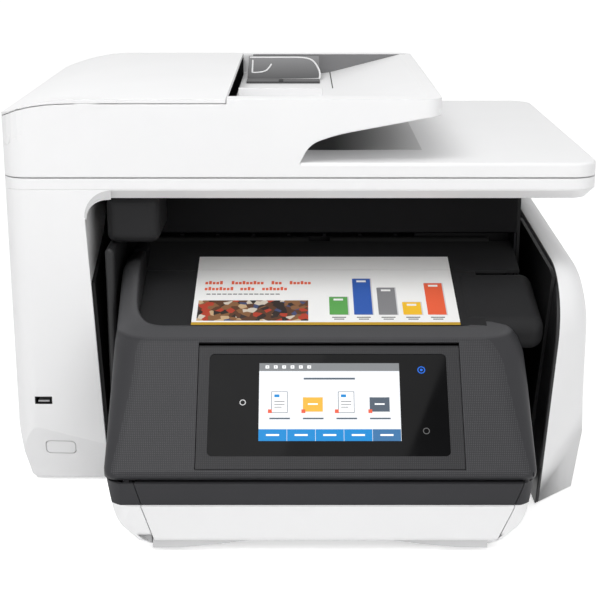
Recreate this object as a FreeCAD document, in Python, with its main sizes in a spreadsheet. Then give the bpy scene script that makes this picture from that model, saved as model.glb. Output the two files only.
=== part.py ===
import FreeCAD, Part
import os
import re
import Sketcher

# A desktop inkjet printer with a flatbed scanner, a document feeder on the lid and a leaning front door.
# Millimetres. X to the viewer's right, Y to the rear, Z up. Origin on the table under the box centre.

DIMENSIONS = {
    # whole body
    "half_width": 250.0, "rear_end": 265.0, "face_front": 128.0, "side_rear": 252.0, "lid_rear": 256.0,
    "plan_corner": 22.0, "skin": 3.5, "seam": 0.6, "run_fit": 0.05, "foot_height": 3.0, "foot_radius": 11.0,
    "plate": 4.0, "base_inset": 16.0,
    # scanner and lid stack
    "pan_level": 258.0, "pan_height": 8.5, "pan_slope": 8.0, "strip_height": 9.5, "lid_gap": 1.0,
    "lid_height": 12.2, "lid_edge": 2.5, "adf_height": 52.8,
    # left tower and right wing
    "tower_foot_width": 81.5, "tower_top_width": 68.5, "left_round": 21.5, "wing_foot_width": 49.0,
    "wing_top_width": 31.5, "side_tuck": 11.0, "tuck_level": 58.0, "undercut": 14.0, "crease_out": 61.0,
    "crease_in": 37.0, "wing_rear_top": 208.0, "wing_front_top": 193.0, "wing_front": 172.0,
    "wing_shoulder": 60.0, "wing_corner": 34.0, "wing_round": 26.0, "liner": 3.0, "liner_low": 185.0,
    "liner_back": 40.0, "port_inset": 19.0, "port_width": 15.0, "port_foot": 76.5, "port_height": 7.0,
    "button_inset": 26.0, "button_width": 26.0, "button_foot": 28.5, "button_height": 12.5,
    # nose and front door
    "nose_gap_left": 13.5, "nose_gap_right": 14.0, "nose_corner": 26.0, "band_step": 3.0, "door_lean": 42.8,
    "face_foot": 262.0, "face_level": 64.6, "face_length": 119.0, "lip_width": 21.0, "lip_rise": 6.0,
    "lip_round": 9.0, "floor_slope": 14.2, "door_reach": 68.0, "hinge_radius": 5.0, "face_slab": 17.0,
    "door_skin": 3.5, "band_foot": 41.6, "skirt_foot": 2.5, "skirt_front_foot": 11.5, "nose_knee": 30.0,
    "nose_sole": 36.0, "cheek_top_left": 25.0, "cheek_foot_left": 42.0, "cheek_top_right": 11.5,
    "cheek_foot_right": 34.0, "arch_half": 95.0, "arch_rise": 7.0, "door_pin": 2.0, "lug_width": 4.0,
    # control panel, in the plane of the leaning face
    "panel_left": 82.4, "panel_right": 129.8, "panel_foot": 7.0, "panel_top": 116.5, "panel_deep": 10.0,
    "panel_pin": 1.5, "glass_left": 73.4, "glass_right": 119.0, "glass_foot": 18.0, "glass_top": 106.5,
    "glass_deep": 2.0, "glass_sink": 0.6, "screen_left": 33.0, "screen_right": 80.5, "screen_foot": 31.0,
    "screen_top": 98.5, "screen_deep": 3.0,
    # paper tray
    "tray_inset_left": 45.0, "tray_inset_right": 37.0, "tray_front_wall": 12.0, "tray_height": 44.0,
    "tray_rear": 115.0, "tray_wall": 2.5, "tray_lift": 0.3, "guide_length": 120.0, "guide_height": 26.0,
    "guide_margin": 22.0, "guide_plate": 2.5, "guide_lift": 0.1,
    # scanner bed
    "well_left": 100.0, "well_right": 18.0, "well_rim": 20.0, "frame_step": 4.0, "frame_thick": 3.5,
    "pane_thick": 3.0, "pane_front": -40.0, "pane_rear": 176.0, "pane_margin": 6.0, "strip_pane": 10.0,
    "bar_width": 16.0, "scan_rail_y": 120.0, "scan_rail_radius": 2.5, "pad_thick": 4.0, "pad_gap": 0.7,
    "lid_pin": 2.5, "lid_eye": 4.5, "ear_eye": 3.6, "ear_width": 5.0, "lug_inset": 100.0,
    # document feeder
    "feeder_rear": 246.0, "cover_right": 61.0, "cover_rim": 4.0, "cover_fall": 35.0, "cover_run": 70.0,
    "cover_round": 80.0, "cover_bead": 4.6, "deck_right": 118.0, "deck_end": 16.0, "deck_corner": 15.0,
    "deck_low": 20.0, "deck_bend": 28.0, "deck_round": 60.0, "rim_front": 20.0, "rim_rear": 18.0,
    "bay_floor": 12.0, "feeder_roller": 10.0, "guide_left": 54.0, "guide_right": 20.0, "rear_guide_y": 160.0,
    "front_guide_y": 42.0, "guide_tip": 218.0,
    # print engine
    "frame_gap_left": 8.5, "frame_gap_right": 5.0, "frame_plate": 2.0, "frame_front": 30.0,
    "frame_back": 215.0, "feed_y": 78.0, "exit_y": -5.0, "roller_z": 190.0, "feed_radius": 9.0,
    "exit_radius": 7.0, "shaft_radius": 3.0, "pick_y": 60.0, "pick_z": 70.0, "pick_radius": 14.0,
    "rod_y": 95.0, "rod_z": 226.0, "rod_radius": 5.0, "rail_y": 122.0, "pulley_radius": 8.0,
    "belt_width": 6.0, "belt_thick": 1.2, "carriage_width": 80.0, "guide_ring": 62.0, "guide_ring_y": 160.0,
    # rear cover
    "rear_plate": 4.0, "access_left": 131.0, "access_right": 91.0, "access_foot": 71.0, "access_top": 199.0,
    "access_skin": 3.5, "access_pin": 0.9, "ports_inset": 18.0, "ports_width": 60.0, "ports_foot": 30.0,
    "ports_top": 120.0, "ports_deep": 14.0, "inlet_inset": 24.0, "inlet_width": 36.0, "inlet_foot": 24.0,
    "inlet_top": 52.0, "inlet_deep": 22.0,
}

# Places that follow from the sizes above.
DERIVED = {
    "left_low": "(half_width - tower_foot_width)", "left_high": "(half_width - tower_top_width)",
    "right_low": "(half_width - wing_foot_width)", "right_high": "(half_width - wing_top_width)",
    "door_left": "(left_low - nose_gap_left)", "door_right": "(right_low - nose_gap_right)",
    "cut_high": "(door_left - cheek_top_left)", "cut_low": "(door_left - cheek_foot_left)",
    "cut_high_right": "(door_right - cheek_top_right)", "cut_low_right": "(door_right - cheek_foot_right)",
    "tray_left": "(door_left - tray_inset_left)", "tray_right": "(door_right - tray_inset_right)",
    "nose_front": "(face_foot + band_step)", "tray_front": "(face_foot - tray_front_wall)",
    "sheet_half": "((tray_left + tray_right) / 2 - guide_margin)",
    "frame_left": "(left_low - frame_gap_left)", "frame_right": "(right_low - frame_gap_right)",
}

doc = FreeCAD.newDocument("Printer")
sheet = doc.addObject("Spreadsheet::Sheet", "Dims")
for row, (alias, size) in enumerate(DIMENSIONS.items(), start=1):
    sheet.set(f"A{row}", alias)
    sheet.set(f"B{row}", str(size))
    sheet.setAlias(f"B{row}", alias)
doc.recompute()

MATHS = ("sin", "cos", "tan", "sqrt")
WORD = re.compile(r"[a-z]\w*")
TOUCH = 1e-4
TURNS = {"X": ("Y", 90), "Y": ("X", -90), "Z": ("Z", 0)}
AXES = {"X": FreeCAD.Vector(1, 0, 0), "Y": FreeCAD.Vector(0, 1, 0), "Z": FreeCAD.Vector(0, 0, 1)}
nodes = []


def bound(text):
    """Write out derived places, then every dimension name as a reference to the sheet."""
    while any(name in DERIVED for name in WORD.findall(text)):
        text = WORD.sub(lambda m: DERIVED.get(m.group(), m.group()), text)
    return WORD.sub(lambda m: m.group() if m.group() in MATHS else "Dims." + m.group(), text)


def number(text):
    return float(sheet.evalExpression(bound(text)))


def tie(obj, **sizes):
    """Bind properties to expressions; a double underscore stands for a dot."""
    for name, text in sizes.items():
        obj.setExpression(name.replace("__", "."), bound(text))
    return obj


def box(name, x, y, z):
    """A block between two corners, each given as a (low, high) pair of expressions."""
    block = doc.addObject("Part::Box", name)
    tie(block, Length=f"({x[1]}) - ({x[0]})", Width=f"({y[1]}) - ({y[0]})", Height=f"({z[1]}) - ({z[0]})")
    return tie(block, Placement__Base__x=x[0], Placement__Base__y=y[0], Placement__Base__z=z[0])


def rod(name, axis, start, radius, length):
    """A cylinder along a main axis from its start point."""
    bar = doc.addObject("Part::Cylinder", name)
    turn_axis, angle = TURNS[axis]
    bar.Placement = FreeCAD.Placement(FreeCAD.Vector(), FreeCAD.Rotation(AXES[turn_axis], angle))
    tie(bar, Radius=radius, Height=length)
    return tie(bar, Placement__Base__x=start[0], Placement__Base__y=start[1], Placement__Base__z=start[2])


def origin_plane(body, role):
    return next(plane for plane in body.Origin.OriginFeatures if plane.Role == role)


def outline(body, plane, points):
    """A closed sketch of straight lines whose corners are tied to the sheet."""
    sketch = body.newObject("Sketcher::SketchObject", body.Name + "Outline")
    sketch.AttachmentSupport = [(origin_plane(body, plane + "_Plane"), "")]
    sketch.MapMode = "FlatFace"
    corners = [FreeCAD.Vector(number(u), number(v), 0) for u, v in points]
    for index, corner in enumerate(corners):
        sketch.addGeometry(Part.LineSegment(corner, corners[(index + 1) % len(corners)]))
    for index in range(len(corners)):
        sketch.addConstraint(Sketcher.Constraint("Coincident", index, 2, (index + 1) % len(corners), 1))
    for index, (u, v) in enumerate(points):
        for kind, text, seed in (("DistanceX", u, corners[index].x), ("DistanceY", v, corners[index].y)):
            item = sketch.addConstraint(Sketcher.Constraint(kind, -1, 1, index, 1, seed))
            sketch.setExpression(f"Constraints[{item}]", bound(text))
    return sketch, corners


def prism(name, plane, points, span, rounds=()):
    """A padded outline; rounds pairs corner numbers with the radius of their long edges."""
    body = doc.addObject("PartDesign::Body", name)
    sketch, corners = outline(body, plane, points)
    start = f"-({span[1]})" if plane == "XZ" else span[0]
    tie(sketch, AttachmentOffset__Base__z=start)
    pad = body.newObject("PartDesign::Pad", name + "Pad")
    pad.Profile = sketch
    tie(pad, Length=f"({span[1]}) - ({span[0]})")
    doc.recompute()
    last = pad
    for picked, radius in rounds:
        edges = [long_edge(last.Shape, plane, corners[index]) for index in picked]
        last = rounded(body, last, edges, radius)
    return body


def flat(point, plane):
    """A point's two coordinates in a main plane."""
    pairs = {"XY": (point.x, point.y), "XZ": (point.x, point.z), "YZ": (point.y, point.z)}
    return FreeCAD.Vector(*pairs[plane], 0)


def long_edge(shape, plane, corner):
    """The edge that runs through the whole pad at one corner of its outline."""
    for index, edge in enumerate(shape.Edges, start=1):
        if all(flat(vertex.Point, plane).isEqual(corner, TOUCH) for vertex in edge.Vertexes):
            return f"Edge{index}"
    raise ValueError(f"no edge at {corner} in {plane}")


def rounded(body, feature, edges, radius):
    fillet = body.newObject("PartDesign::Fillet", body.Name + "Round")
    fillet.Base = (feature, edges)
    tie(fillet, Radius=radius)
    doc.recompute()
    return fillet


def edges_where(shape, test):
    return [f"Edge{index}" for index, edge in enumerate(shape.Edges, start=1) if test(edge)]


def joined(name, *shapes):
    fuse = doc.addObject("Part::MultiFuse", name)
    fuse.Shapes = list(shapes)
    return fuse


def shared(name, *shapes):
    common = doc.addObject("Part::MultiCommon", name)
    common.Shapes = list(shapes)
    return common


def cut(name, base, *tools):
    """The base with every tool taken away."""
    result = doc.addObject("Part::Cut", name)
    result.Base = base
    result.Tool = tools[0] if len(tools) == 1 else joined(name + "Tools", *tools)
    return result


def turned(name, axis, start, steps):
    """A stepped round piece along a main axis: steps pair a length with a radius."""
    parts = []
    along = "0"
    for index, (length, radius) in enumerate(steps):
        place = list(start)
        place["XYZ".index(axis)] = f"({start['XYZ'.index(axis)]}) + {along}"
        parts.append(rod(f"{name}Step{index}", axis, place, radius, length))
        along = f"{along} + ({length})"
    return joined(name, *parts)


def group(name, *shapes):
    compound = doc.addObject("Part::Compound", name)
    compound.Links = list(shapes)
    return compound


def on_face(piece):
    """Move a piece from the door's own flat frame onto the leaning face."""
    piece.Placement = FreeCAD.Placement(FreeCAD.Vector(), FreeCAD.Rotation(AXES["X"], -1))
    return tie(piece, Placement__Base__y="-face_foot", Placement__Base__z="face_level",
               Placement__Rotation__Angle="-door_lean")


def node(piece, label):
    piece.Label = label
    nodes.append(piece)
    return piece


LEFT, RIGHT, FACE, NOSE = "-half_width", "half_width", "-face_front", "-nose_front"
BASE_TOP = "(foot_height + plate)"
STRIP_FOOT = "(pan_level + pan_height)"
STRIP_TOP = "(pan_level + pan_height + strip_height)"
LID_FOOT = "(pan_level + pan_height + strip_height + lid_gap)"
LID_TOP = "(pan_level + pan_height + strip_height + lid_gap + lid_height)"
TOP = "(pan_level + pan_height + strip_height + lid_gap + lid_height + adf_height)"
HINGE_Y = "(-face_foot + hinge_radius * (cos(door_lean) + sin(door_lean)))"
HINGE_Z = "(face_level - hinge_radius * (sin(door_lean) - cos(door_lean)))"
NOSE_FOOT = f"({HINGE_Z} - hinge_radius)"
BAND_TOP = f"({NOSE_FOOT} - seam)"


# Base frame: a flat tray bottom with a tongue that carries the paper tray forward.
LOW_SKIN = "(-face_front + undercut + skin)"
base_plate = box("BasePlate", ("-half_width + base_inset", "half_width - base_inset"),
                 (LOW_SKIN, "side_rear"), ("foot_height", BASE_TOP))
base_apron = box("BaseApron", ("-left_low + seam", "right_low - seam"), (FACE, LOW_SKIN),
                 ("foot_height", BASE_TOP))
base_tongue = box("BaseTongue", ("-tray_left + 5", "tray_right - 5"), ("-tray_front + 10", FACE),
                  ("foot_height", BASE_TOP))
node(joined("BaseFrame", base_plate, base_apron, base_tongue), "base_frame")

# Rubber feet: four pads under the corners of the base plate.
FOOT_X = ("-half_width + base_inset + foot_radius + 4", "half_width - base_inset - foot_radius - 4")
FOOT_Y = ("-face_front + base_inset + foot_radius + 4", "side_rear - foot_radius - 8")
feet = [rod(f"Foot{ix}{iy}", "Z", (x, y, "0"), "foot_radius", "foot_height")
        for ix, x in enumerate(FOOT_X) for iy, y in enumerate(FOOT_Y)]
node(group("Feet", *feet), "rubber_feet")

# Left side cover: a tall hollow tower whose front face runs on into the scanner strip.
body_plan = [(LEFT, FACE), (RIGHT, FACE), (RIGHT, "side_rear"), (LEFT, "side_rear")]
tower_plan = prism("TowerPlan", "XY", body_plan, ("0", TOP), [((0,), "plan_corner")])
tower_front = prism("TowerFront", "XZ", [
    (LEFT, STRIP_FOOT), (LEFT, "tuck_level"), ("-half_width + side_tuck", "skirt_foot + 4"),
    ("-half_width + side_tuck + 4", "skirt_foot"), ("-left_low", "skirt_foot"),
    ("-left_high", "pan_level"), ("-left_high + left_round", "pan_level"),
    ("-left_high + left_round", STRIP_FOOT)], (FACE, "side_rear"), [((5,), "left_round * 0.9")])
tower_block = shared("TowerBlock", tower_plan, tower_front)


def undercut_wedge(name, shift):
    """The slanted slice taken off the foot of the tower front, moved back by a shift."""
    body = doc.addObject("PartDesign::Body", name)
    ends = (("-half_width - 2", "crease_out"), ("-left_low + 6", "crease_in"))
    sketches = []
    for place, crease in ends:
        sketch, _ = outline(body, "YZ", [
            (f"-face_front - 4 + {shift}", crease), (f"-face_front + {shift}", crease),
            (f"-face_front + undercut + {shift}", "0"), (f"-face_front - 4 + {shift}", "0")])
        tie(sketch, AttachmentOffset__Base__z=place)
        sketches.append(sketch)
    doc.recompute()
    loft = body.newObject("PartDesign::AdditiveLoft", name + "Loft")
    loft.Profile = sketches[0]
    loft.Sections = [sketches[1]]
    loft.Ruled = True
    return body


tower_hollow = prism("TowerHollow", "XY", [
    ("-half_width + skin", "-face_front + skin"), ("-left_high - skin", "-face_front + skin"),
    ("-left_high - skin", "side_rear"), ("-half_width + skin", "side_rear")],
    ("crease_out + 2", f"{STRIP_FOOT} - skin"), [((0,), "plan_corner - skin")])
tower_shell = cut(
    "TowerShell", tower_block, undercut_wedge("TowerUndercut", "0"),
    tower_hollow,
    box("TowerLowHollow", ("-half_width + side_tuck + skin", "-left_high - skin"), (LOW_SKIN, "side_rear"),
        ("0", "crease_out + 2")),
    box("TowerInnerCut", ("-left_high - skin", "-left_low + left_round"), ("liner_back", "side_rear"),
        ("0", f"{STRIP_FOOT} - skin")),
    box("TowerBaseCut", ("-left_high - skin - 1", "-left_low + 1"), (LOW_SKIN, "side_rear"), ("0", BASE_TOP)))
PORT_X = ("-half_width + port_inset", "-half_width + port_inset + port_width")
PORT_Z = ("port_foot", "port_foot + port_height")
port_hole = box("PortHole", PORT_X, ("-face_front - 1", "-face_front + skin + 1"), PORT_Z)
BUTTON_X = ("-half_width + button_inset", "-half_width + button_inset + button_width")
BUTTON_Z = ("button_foot", "button_foot + button_height")


def button_block(name, gap):
    corners = [(BUTTON_X[0], BUTTON_Z[0]), (BUTTON_X[1], BUTTON_Z[0]), (BUTTON_X[1], BUTTON_Z[1]),
               (BUTTON_X[0], BUTTON_Z[1])]
    grown = [(f"{u} {su} {gap}", f"{v} {sv} {gap}") for (u, v), su, sv in zip(corners, "-++-", "--++")]
    return prism(name, "XZ", grown, ("-face_front - 2", f"{LOW_SKIN} + 4"), [((0, 1, 2, 3), "4")])


node(cut("LeftSideCover", tower_shell, port_hole, button_block("ButtonHole", "0.4")), "left_side_cover")
node(cut("PowerButton", button_block("ButtonBlock", "0"), undercut_wedge("ButtonUndercut", "0.2")),
     "power_button")
port_shell = box("PortShell", PORT_X, ("-face_front + 0.5", "-face_front + 18"), PORT_Z)
port_mouth = box("PortMouth", (f"{PORT_X[0]} + 1", f"{PORT_X[1]} - 1"), ("-face_front", "-face_front + 16"),
                 (f"{PORT_Z[0]} + 1", f"{PORT_Z[1]} - 1"))
node(cut("MemoryPort", port_shell, port_mouth), "memory_port")

# Right side cover: a low wing that rounds down to its front and sweeps in towards the nose.
WING_TOP = "(wing_rear_top + 2)"
wing_plan = prism("WingPlan", "XY", [
    (RIGHT, "side_rear"), (RIGHT, "-face_front - 4"), ("right_low + 10", "-wing_front + 8"),
    ("right_low - 5", "-wing_front"), ("right_low - 5", "side_rear")],
    ("0", WING_TOP), [((1,), "wing_corner")])
wing_front = prism("WingFront", "XZ", [
    ("right_low", "skirt_foot"), ("half_width - side_tuck - 4", "skirt_foot"),
    ("half_width - side_tuck", "skirt_foot + 4"), (RIGHT, "tuck_level"), (RIGHT, WING_TOP),
    ("right_high", WING_TOP)], ("-wing_front - 5", "side_rear"), [((4,), "wing_round")])
wing_side = prism("WingSide", "YZ", [
    ("-wing_front", "0"), ("side_rear", "0"), ("side_rear", "wing_rear_top"),
    ("-wing_front + 12", "wing_front_top"), ("-wing_front", "wing_front_top - 80")],
    ("right_low - 6", "half_width + 1"), [((3,), "wing_shoulder"), ((4,), "wing_shoulder * 3")])
wing_block = shared("WingBlock", wing_plan, wing_front, wing_side)
wing_hollow = shared(
    "WingHollow",
    box("WingHollowBox", ("right_high + skin", "half_width - skin"), ("-wing_front + 50", "side_rear"),
        ("tuck_level", "wing_front_top - 20")),
    wing_side)
wing_low_hollow = box("WingLowHollow", ("right_high + skin", "half_width - side_tuck - skin"),
                      ("-face_front + 4", "side_rear"), ("0", "tuck_level"))
wing_base_cut = box("WingBaseCut", ("right_low - 1", "right_high + skin + 1"),
                    (LOW_SKIN, "side_rear"), ("0", BASE_TOP))
wing_inner_cut = box("WingInnerCut", ("right_low - 1", "right_high + skin"), ("liner_back", "side_rear"),
                     ("0", "wing_front_top - 20"))
node(cut("RightSideCover", wing_block, wing_hollow, wing_low_hollow, wing_base_cut, wing_inner_cut),
     "right_side_cover")

# Dark liners along the inner walls of the tower and the wing.
left_liner_slab = prism("LeftLinerSlab", "XZ", [
    ("-left_low", BASE_TOP), ("-left_low + liner", BASE_TOP), ("-left_high + liner", "pan_level"),
    ("-left_high", "pan_level")], ("-face_front + 2", "liner_back + 20"))
left_liner_sweep = prism("LeftLinerSweep", "YZ", [
    ("-face_front", "0"), ("liner_back + 20", "0"), ("liner_back + 20", "pan_level"),
    ("liner_back - 30", "pan_level"), ("liner_back - 50", "liner_low + 30"), ("-face_front", "liner_low")],
    ("-half_width", "0"), [((4,), "60")])
node(cut("LeftLiner", shared("LeftLinerPart", left_liner_slab, left_liner_sweep), tower_front), "left_liner")
right_liner_slab = prism("RightLinerSlab", "XZ", [
    ("right_low - liner", BASE_TOP), ("right_low", BASE_TOP), ("right_high", WING_TOP),
    ("right_high - liner", WING_TOP)], ("-face_front", "liner_back + 20"))
node(cut("RightLiner", shared("RightLinerPart", right_liner_slab, wing_side), wing_front), "right_liner")

# Side frames, base to scanner pan, with holes for every shaft that they carry.
FRAME_LEFT = ("-frame_left - frame_plate", "-frame_left")
FRAME_RIGHT = ("frame_right", "frame_right + frame_plate")
SHAFTS = {"Feed": ("feed_y", "roller_z"), "Exit": ("exit_y", "roller_z"), "Pick": ("pick_y", "pick_z")}
SHAFT_FIT = "shaft_radius + run_fit"
frames = []
for label, (low, high) in (("left", FRAME_LEFT), ("right", FRAME_RIGHT)):
    plate = box(f"Frame{label}", (low, high), ("-frame_front", "frame_back"), (BASE_TOP, "pan_level"))
    bores = [rod(f"Frame{label}{name}", "X", (f"{low} - 1", y, z), SHAFT_FIT, "frame_plate + 2")
             for name, (y, z) in SHAFTS.items()]
    frames.append(cut(f"SideFrame{label}", plate, *bores))
node(group("SideFrames", *frames), "side_frames")

# Rollers: a shaft through both frames with wider sleeves between them.
INSIDE = "(frame_left + frame_right)"
END = "(frame_plate - 0.3)"
for label, radius, y in (("feed", "feed_radius", "feed_y"), ("exit", "exit_radius", "exit_y")):
    sleeve = f"({INSIDE} - 60) / 2"
    steps = [(f"{END} + 20", "shaft_radius"), (sleeve, radius), ("20", "shaft_radius"), (sleeve, radius),
             (f"{END} + 20", "shaft_radius")]
    node(turned(f"{label}Roller", "X", (f"-frame_left - {END}", y, "roller_z"), steps), f"{label}_roller")
node(turned("PickRoller", "X", (f"-frame_left - {END}", "pick_y", "pick_z"), [
    (f"{END} + {INSIDE} / 2 - 30", "shaft_radius"), ("60", "pick_radius"),
    (f"{END} + {INSIDE} / 2 - 30", "shaft_radius")]), "pick_roller")

# Platen between the rollers, with thin ribs that carry the sheet.
BETWEEN = ("-frame_left", "frame_right")
PLATEN_TOP = "(roller_z + exit_radius)"
platen_end = "frame_right - carriage_width - 8"
ROLLER_GAP = ("exit_y + exit_radius + 4", "feed_y - feed_radius - 4")
platen_block = box("PlatenBlock", ("-frame_left", platen_end), ROLLER_GAP,
                   ("roller_z - 5", f"{PLATEN_TOP} - 2"))
RIBS = 8
rib_step = f"(frame_left + {platen_end}) / {RIBS}"
ribs = []
for index in range(RIBS):
    rib_left = f"-frame_left + ({rib_step}) * {index} + 14"
    ribs.append(box(f"PlatenRib{index}", (rib_left, f"{rib_left} + 3"),
                    (f"{ROLLER_GAP[0]} + 2", f"{ROLLER_GAP[1]} - 2"), (f"{PLATEN_TOP} - 2", PLATEN_TOP)))
node(joined("Platen", platen_block, *ribs), "platen")
station = box("StationBlock", (platen_end, "frame_right"), ROLLER_GAP, ("roller_z - 45", f"{PLATEN_TOP} + 1"))
cap_wells = []
for index in range(4):
    cap_left = f"{platen_end} + 14 + {index} * 17"
    cap_wells.append(box(f"StationWell{index}", (cap_left, f"{cap_left} + 11"),
                         (f"{ROLLER_GAP[0]} + 8", f"{ROLLER_GAP[1]} - 10"),
                         (f"{PLATEN_TOP} - 6", f"{PLATEN_TOP} + 2")))
node(cut("ServiceStation", station, *cap_wells), "service_station")

# Carriage on its rod, with four cartridges that pull out to the front.
carriage_rod = rod("CarriageRod", "X", ("-frame_left", "rod_y", "rod_z"), "rod_radius", INSIDE)
CAR_X = ("frame_right - carriage_width - 6", "frame_right - 6")
CAR_FRONT, CAR_BACK = "(exit_y + exit_radius + 10)", "(rod_y + rod_radius + 8)"
CAR_Z = (f"{PLATEN_TOP} + 5", "pan_level - 8")
car_block = box("CarBlock", CAR_X, (CAR_FRONT, CAR_BACK), CAR_Z)
car_bore = rod("CarBore", "X", (f"{CAR_X[0]} - 1", "rod_y", "rod_z"), "rod_radius + run_fit",
               "carriage_width + 2")
INK_WIDE = "(carriage_width - 12) / 4"
wells, inks = [], []
for index in range(4):
    low = f"{CAR_X[0]} + 6 + {index} * {INK_WIDE}"
    high = f"{low} + {INK_WIDE} - 2"
    wells.append(box(f"InkWell{index}", (low, high), (f"{CAR_FRONT} - 1", "rod_y - rod_radius - 6"),
                     (f"{CAR_Z[0]} + 3", f"{CAR_Z[1]} + 1")))
    body = box(f"InkBody{index}", (f"{low} + 0.3", f"{high} - 0.3"), (CAR_FRONT, "rod_y - rod_radius - 7"),
               (f"{CAR_Z[0]} + 3", f"{CAR_Z[1]} - 4"))
    grip = box(f"InkGrip{index}", (f"{low} + 3", f"{high} - 3"), (f"{CAR_FRONT} - 6", CAR_FRONT),
               (f"{CAR_Z[0]} + 20", f"{CAR_Z[1]} - 8"))
    inks.append(joined(f"Ink{index}", body, grip))
CLAMP_X = f"{CAR_X[0]} + carriage_width / 2"
car_clamp = box("CarClamp", (f"{CLAMP_X} - 8", f"{CLAMP_X} + 8"), (CAR_BACK, "rail_y - belt_width - 2.5"),
                ("rod_z - pulley_radius - 6", "rod_z - 4"))
node(cut("Carriage", joined("CarBody", car_block, car_clamp), car_bore, *wells), "carriage")
node(group("InkCartridges", *inks), "ink_cartridges")

# Rear rail with the belt drive: a motor pulley on the right and an idler on the left.
DRIVE_X, IDLER_X = "frame_right - pulley_radius - 6", "-frame_left + pulley_radius + 6"
PIN_FIT = "2 + run_fit"
rail_plate = box("RailPlate", BETWEEN, ("rail_y", "rail_y + frame_plate"), ("roller_z + 12", "pan_level"))
rail_bores = [rod(f"RailBore{index}", "Y", (x, "rail_y - 1", "rod_z"), PIN_FIT, "frame_plate + 2")
              for index, x in enumerate((DRIVE_X, IDLER_X))]
node(cut("RearRail", rail_plate, *rail_bores), "rear_rail")
for label, x in (("drive", DRIVE_X), ("idler", IDLER_X)):
    node(turned(f"{label}Pulley", "Y", (x, "rail_y - belt_width - 4", "rod_z"), [
        ("1.5", "pulley_radius + 1.5"), ("belt_width + 2", "pulley_radius - 0.1"),
        ("0.5 + frame_plate + 3", "2")]), f"{label}_pulley")
belt_span = ("rail_y - belt_width - 2.2", "rail_y - 2.2")


def belt_loop(name, reach):
    """A long loop round both pulleys, as far from their centres as reach."""
    low, high = f"rod_z - ({reach})", f"rod_z + ({reach})"
    straight = box(name + "Run", (IDLER_X, DRIVE_X), belt_span, (low, high))
    ends = [rod(f"{name}End{index}", "Y", (x, belt_span[0], "rod_z"), reach, "belt_width")
            for index, x in enumerate((DRIVE_X, IDLER_X))]
    return joined(name, straight, *ends)


belt_outer = belt_loop("BeltOuter", "pulley_radius + belt_thick")
node(cut("CarriageBelt", belt_outer, belt_loop("BeltInner", "pulley_radius")), "carriage_belt")
motor_can = rod("MotorCan", "Y", (DRIVE_X, "rail_y + frame_plate", "rod_z - 3"), "13", "34")
motor_bore = rod("MotorBore", "Y", (DRIVE_X, "rail_y", "rod_z"), "3", "frame_plate + 8")
node(cut("CarriageMotor", motor_can, motor_bore), "carriage_motor")

# Rear paper guide: half a ring that turns the sheet from the tray up to the feed roller.
ring_z = "roller_z - guide_ring - 2"
ring_outer = rod("GuideOuter", "X", ("-frame_left", "guide_ring_y", ring_z), "guide_ring", INSIDE)
ring_inner = rod("GuideInner", "X", ("-frame_left - 1", "guide_ring_y", ring_z), "guide_ring - 2.5",
                 f"{INSIDE} + 2")
ring_front = box("GuideFront", ("-frame_left - 1", "frame_right + 1"),
                 ("guide_ring_y - guide_ring - 1", "guide_ring_y"),
                 (f"{ring_z} - guide_ring - 1", f"{ring_z} + guide_ring + 1"))
node(cut("RearPaperGuide", ring_outer, ring_inner, ring_front), "rear_paper_guide")

# Electrics: main board on the right frame, power supply on the base under the tower.
node(box("MainBoard", (FRAME_RIGHT[1], f"{FRAME_RIGHT[1]} + 1.6"), ("frame_back - 145", "frame_back - 5"),
         (f"{BASE_TOP} + 20", "pan_level - 108")), "main_board")
node(box("PowerSupply", ("-half_width + base_inset + 4", "-frame_left - frame_plate - 3"),
         ("side_rear - 142", "side_rear - inlet_deep - 1"), (BASE_TOP, f"{BASE_TOP} + 52")), "power_supply")

# Dark hood, side cover and fixed floor round the output space.
hood_plate = box("HoodPlate", (FRAME_LEFT[0], FRAME_RIGHT[1]), ("-frame_front - 3", "-frame_front"),
                 ("roller_z + 18", "pan_level"))
hood_window = box("HoodWindow", ("-frame_left + 40", "frame_right - 46"),
                  ("-frame_front - 4", "-frame_front + 1"), ("roller_z + 26", "pan_level - 8"))
node(cut("EngineHood", hood_plate, hood_window), "engine_hood")
node(box("EngineSideCover", ("frame_right + frame_plate", "frame_right + frame_plate + 2.5"),
         ("-frame_front - 3", "side_rear"), ("wing_front_top - 30", "pan_level")), "engine_side_cover")
FLOOR_TILT = "tan(floor_slope)"
LIP_Y = "(-face_foot + face_length * sin(door_lean) + lip_width)"
LIP_Z = "(face_level + face_length * cos(door_lean) + lip_rise)"


def floor_height(y):
    """Height of the sloping output floor at a given depth."""
    return f"({LIP_Z} + (({y}) - {LIP_Y}) * {FLOOR_TILT})"


FIXED_FRONT, FIXED_BACK = "(-door_reach + 1)", "(exit_y - exit_radius - 2)"
node(prism("OutputFloor", "YZ", [
    (FIXED_FRONT, floor_height(FIXED_FRONT)), (FIXED_FRONT, f"{floor_height(FIXED_FRONT)} - 3"),
    (FIXED_BACK, f"{floor_height(FIXED_BACK)} - 3"), (FIXED_BACK, floor_height(FIXED_BACK))], BETWEEN),
     "output_floor")

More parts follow.
